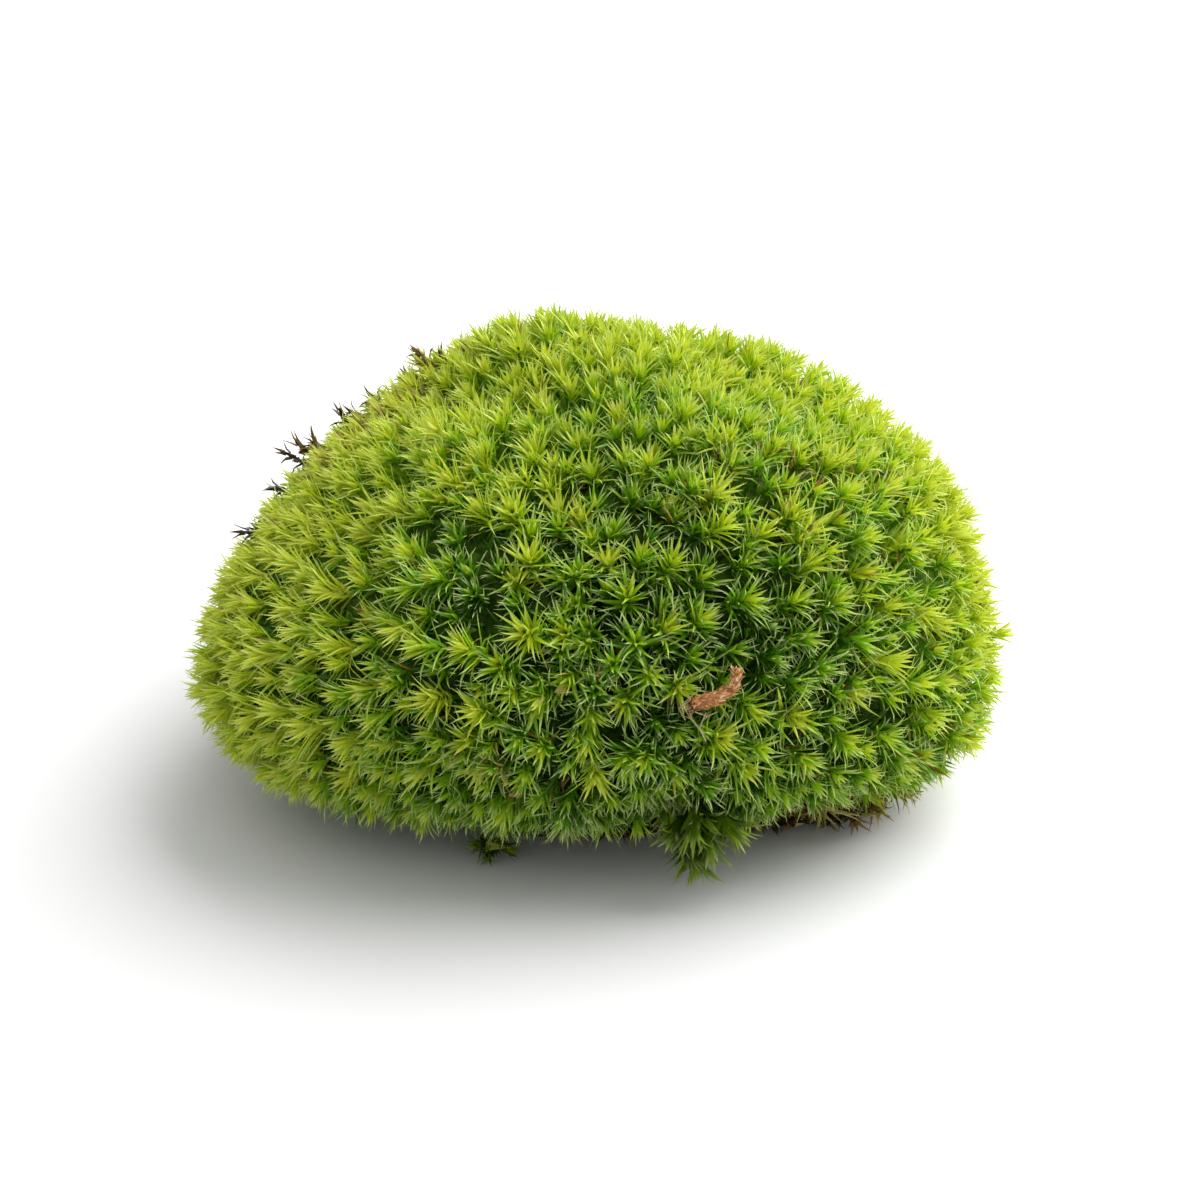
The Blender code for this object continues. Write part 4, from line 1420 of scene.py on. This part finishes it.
# %% [markdown]
# ## The dry twig tip
#
# A curled twig tip lies on the front. It is clad in papery rust-brown scales that overlap
# towards its tip, the left end is open and painted dark with the shade inside it, and bent,
# hair-thin stalks hang from it. The middle line is read from the solid: its corners are sorted
# along the twig and averaged in small groups.

# %% The twig's core
TWIG_RINGS, TWIG_SIDES = 14, 10
# The core's radius, and where the scales grow, as shares of the solid's radius
CORE_SHARE, SCALE_SHARE = 0.82, 0.75
# The cap on the open left end gets the darkest tone: painted shade inside the opening
CORE_TONE, OPEN_END_SHADE = 0.32, 0.0
# The twig runs this way
TWIG_WAY = np.array([1.0, 0.0, 1.0])

twig_corners = welded("dry_twig_tip")[0]
order = np.argsort(twig_corners @ unit(TWIG_WAY))
groups = np.array_split(twig_corners[order], TWIG_RINGS)
twig_line = np.array([group.mean(axis=0) for group in groups])
twig_radius = np.array(
    [np.linalg.norm(group - middle, axis=1).mean() for group, middle in zip(groups, twig_line)]
)
twig_radius = np.convolve(np.pad(twig_radius, 1, mode="edge"), [0.25, 0.5, 0.25], "valid")
core = tubes(twig_line[None], CORE_SHARE * twig_radius[None], [CORE_TONE], sides=TWIG_SIDES)
core[2][:TWIG_SIDES, 0] = OPEN_END_SHADE

# %% Scales, and fibres that fray out round the open end
TWIG_SCALES = 360
# Lengths, widths, the mean bend and its spread, and the spreads of sway and twist
SCALE_HABIT = ((0.5 * MM, 0.9 * MM), (0.26 * MM, 0.42 * MM), (-0.2, 0.25), 0.12, 0.3)
SCALE_LIFTS, SCALE_TONE, SCALE_PALING = (0.15, 0.45), (0.50, 0.15), 0.2
# The fibres' number, lengths, width and how deep they start
FRAYED, FRAY_LENGTHS, FRAY_WIDTH, FRAY_SUNK = 22, (0.9 * MM, 1.9 * MM), 0.16 * MM, 0.4 * MM
# Their splay off the twig, the spreads of their bend, sway and twist, and their tones
FRAY_SPLAY, FRAY_SPREADS, FRAY_TONES = 0.25, (0.5, 0.3, 0.5), (0.1, 0.98)
# No scale grows on the last rings
BARE_RINGS = 1.6
TWIG_PALETTE = (
    (0.00, "#2A1808"),
    (1.00, "#F4E2BC"),
    (0.25, "#7C4A22"),
    (0.45, "#BC7A3E"),
    (0.62, "#DCA064"),
    (0.80, "#EAC492"),
)

rng = np.random.default_rng(171)
place = np.sort(rng.uniform(0, TWIG_RINGS - BARE_RINGS, TWIG_SCALES))
spots, headings = (
    np.stack([np.interp(place, range(TWIG_RINGS), axis) for axis in table.T], axis=1)
    for table in (twig_line, np.gradient(twig_line, axis=0))
)
headings = unit(headings)
radius = np.interp(place, range(TWIG_RINGS), twig_radius)
outward = unit(np.cross(headings, rng.normal(size=headings.shape)))
lift = rng.uniform(*SCALE_LIFTS, (TWIG_SCALES, 1))
chances = leaf_chances(rng, TWIG_SCALES, *SCALE_HABIT)
scale_tones = rng.normal(*SCALE_TONE, TWIG_SCALES) + SCALE_PALING * place / TWIG_RINGS
scales = blades(
    spots + SCALE_SHARE * radius[:, None] * outward, unit(headings + lift * outward),
    unit(outward - lift * headings), *chances, np.clip(scale_tones, *CHANCE_TONES),
)

# Papery and dry, so the scales' thin tips are paler and a little light comes through
twig_scale = leaf_material(
    "dry twig scale", TWIG_PALETTE, "#E8BE86", tip_share=0.35, through=0.15, glow=0.0
)
fray_out = unit(np.cross(headings[:1], rng.normal(size=(FRAYED, 3))))
fray_along = unit(FRAY_SPLAY * fray_out - headings[:1])
fray = blades(
    twig_line[:1] + SCALE_SHARE * twig_radius[0] * fray_out - FRAY_SUNK * fray_along, fray_along,
    fray_out, rng.uniform(*FRAY_LENGTHS, FRAYED), np.full(FRAYED, FRAY_WIDTH),
    *(rng.normal(0, spread, FRAYED) for spread in FRAY_SPREADS), rng.uniform(*FRAY_TONES, FRAYED),
)
make_piece("twig_tip", joined([core, scales, fray]), twig_scale, "dry_twig", ["dry_twig_tip"])

# %% Bent stalks
STALK_RADIUS, STALK_RINGS, STALK_TONE = 0.09 * MM, 7, 0.16
# Start, bend and end of each stalk, as x, y and z in mm
STALKS = np.array(
    [
        [(12.8, -45.0, 33.5), (10.3, -46.4, 31.9), (12.2, -47.2, 29.2)],
        [(11.0, -46.2, 32.0), (11.6, -47.0, 30.2), (13.2, -47.4, 28.2)],
        [(12.0, -47.0, 31.2), (13.6, -46.6, 30.3), (14.9, -46.4, 30.9)],
        [(11.4, -46.4, 32.6), (10.0, -46.6, 31.4), (10.8, -47.0, 30.0)],
        [(13.4, -46.8, 31.0), (12.6, -47.3, 29.0), (13.4, -47.8, 27.4)],
    ]
)

share = np.linspace(0, 1, STALK_RINGS)[:, None]
bend_in, bend_out = ramp(share, 0, 0.5), ramp(share, 0.5, 1)
stalk_paths = (
    STALKS[:, :1] + bend_in * (STALKS[:, 1:2] - STALKS[:, :1])
    + bend_out * (STALKS[:, 2:] - STALKS[:, 1:2])
)
stalk_radii = np.full((len(STALKS), STALK_RINGS), STALK_RADIUS)
stalks = tubes(stalk_paths * MM, stalk_radii, np.full(len(STALKS), STALK_TONE))
STALK_COLOURS = ((0.0, "#9A8A64"), (1.0, "#D2C49A"))
dry_stalk = leaf_material(
    "dry grey stalk", STALK_COLOURS, "#B8A67C", tip_share=0.5, through=0.1, glow=0.0
)
make_piece("twig_stalks", stalks, dry_stalk, "dry_twig", ["dry_twig_tip"])
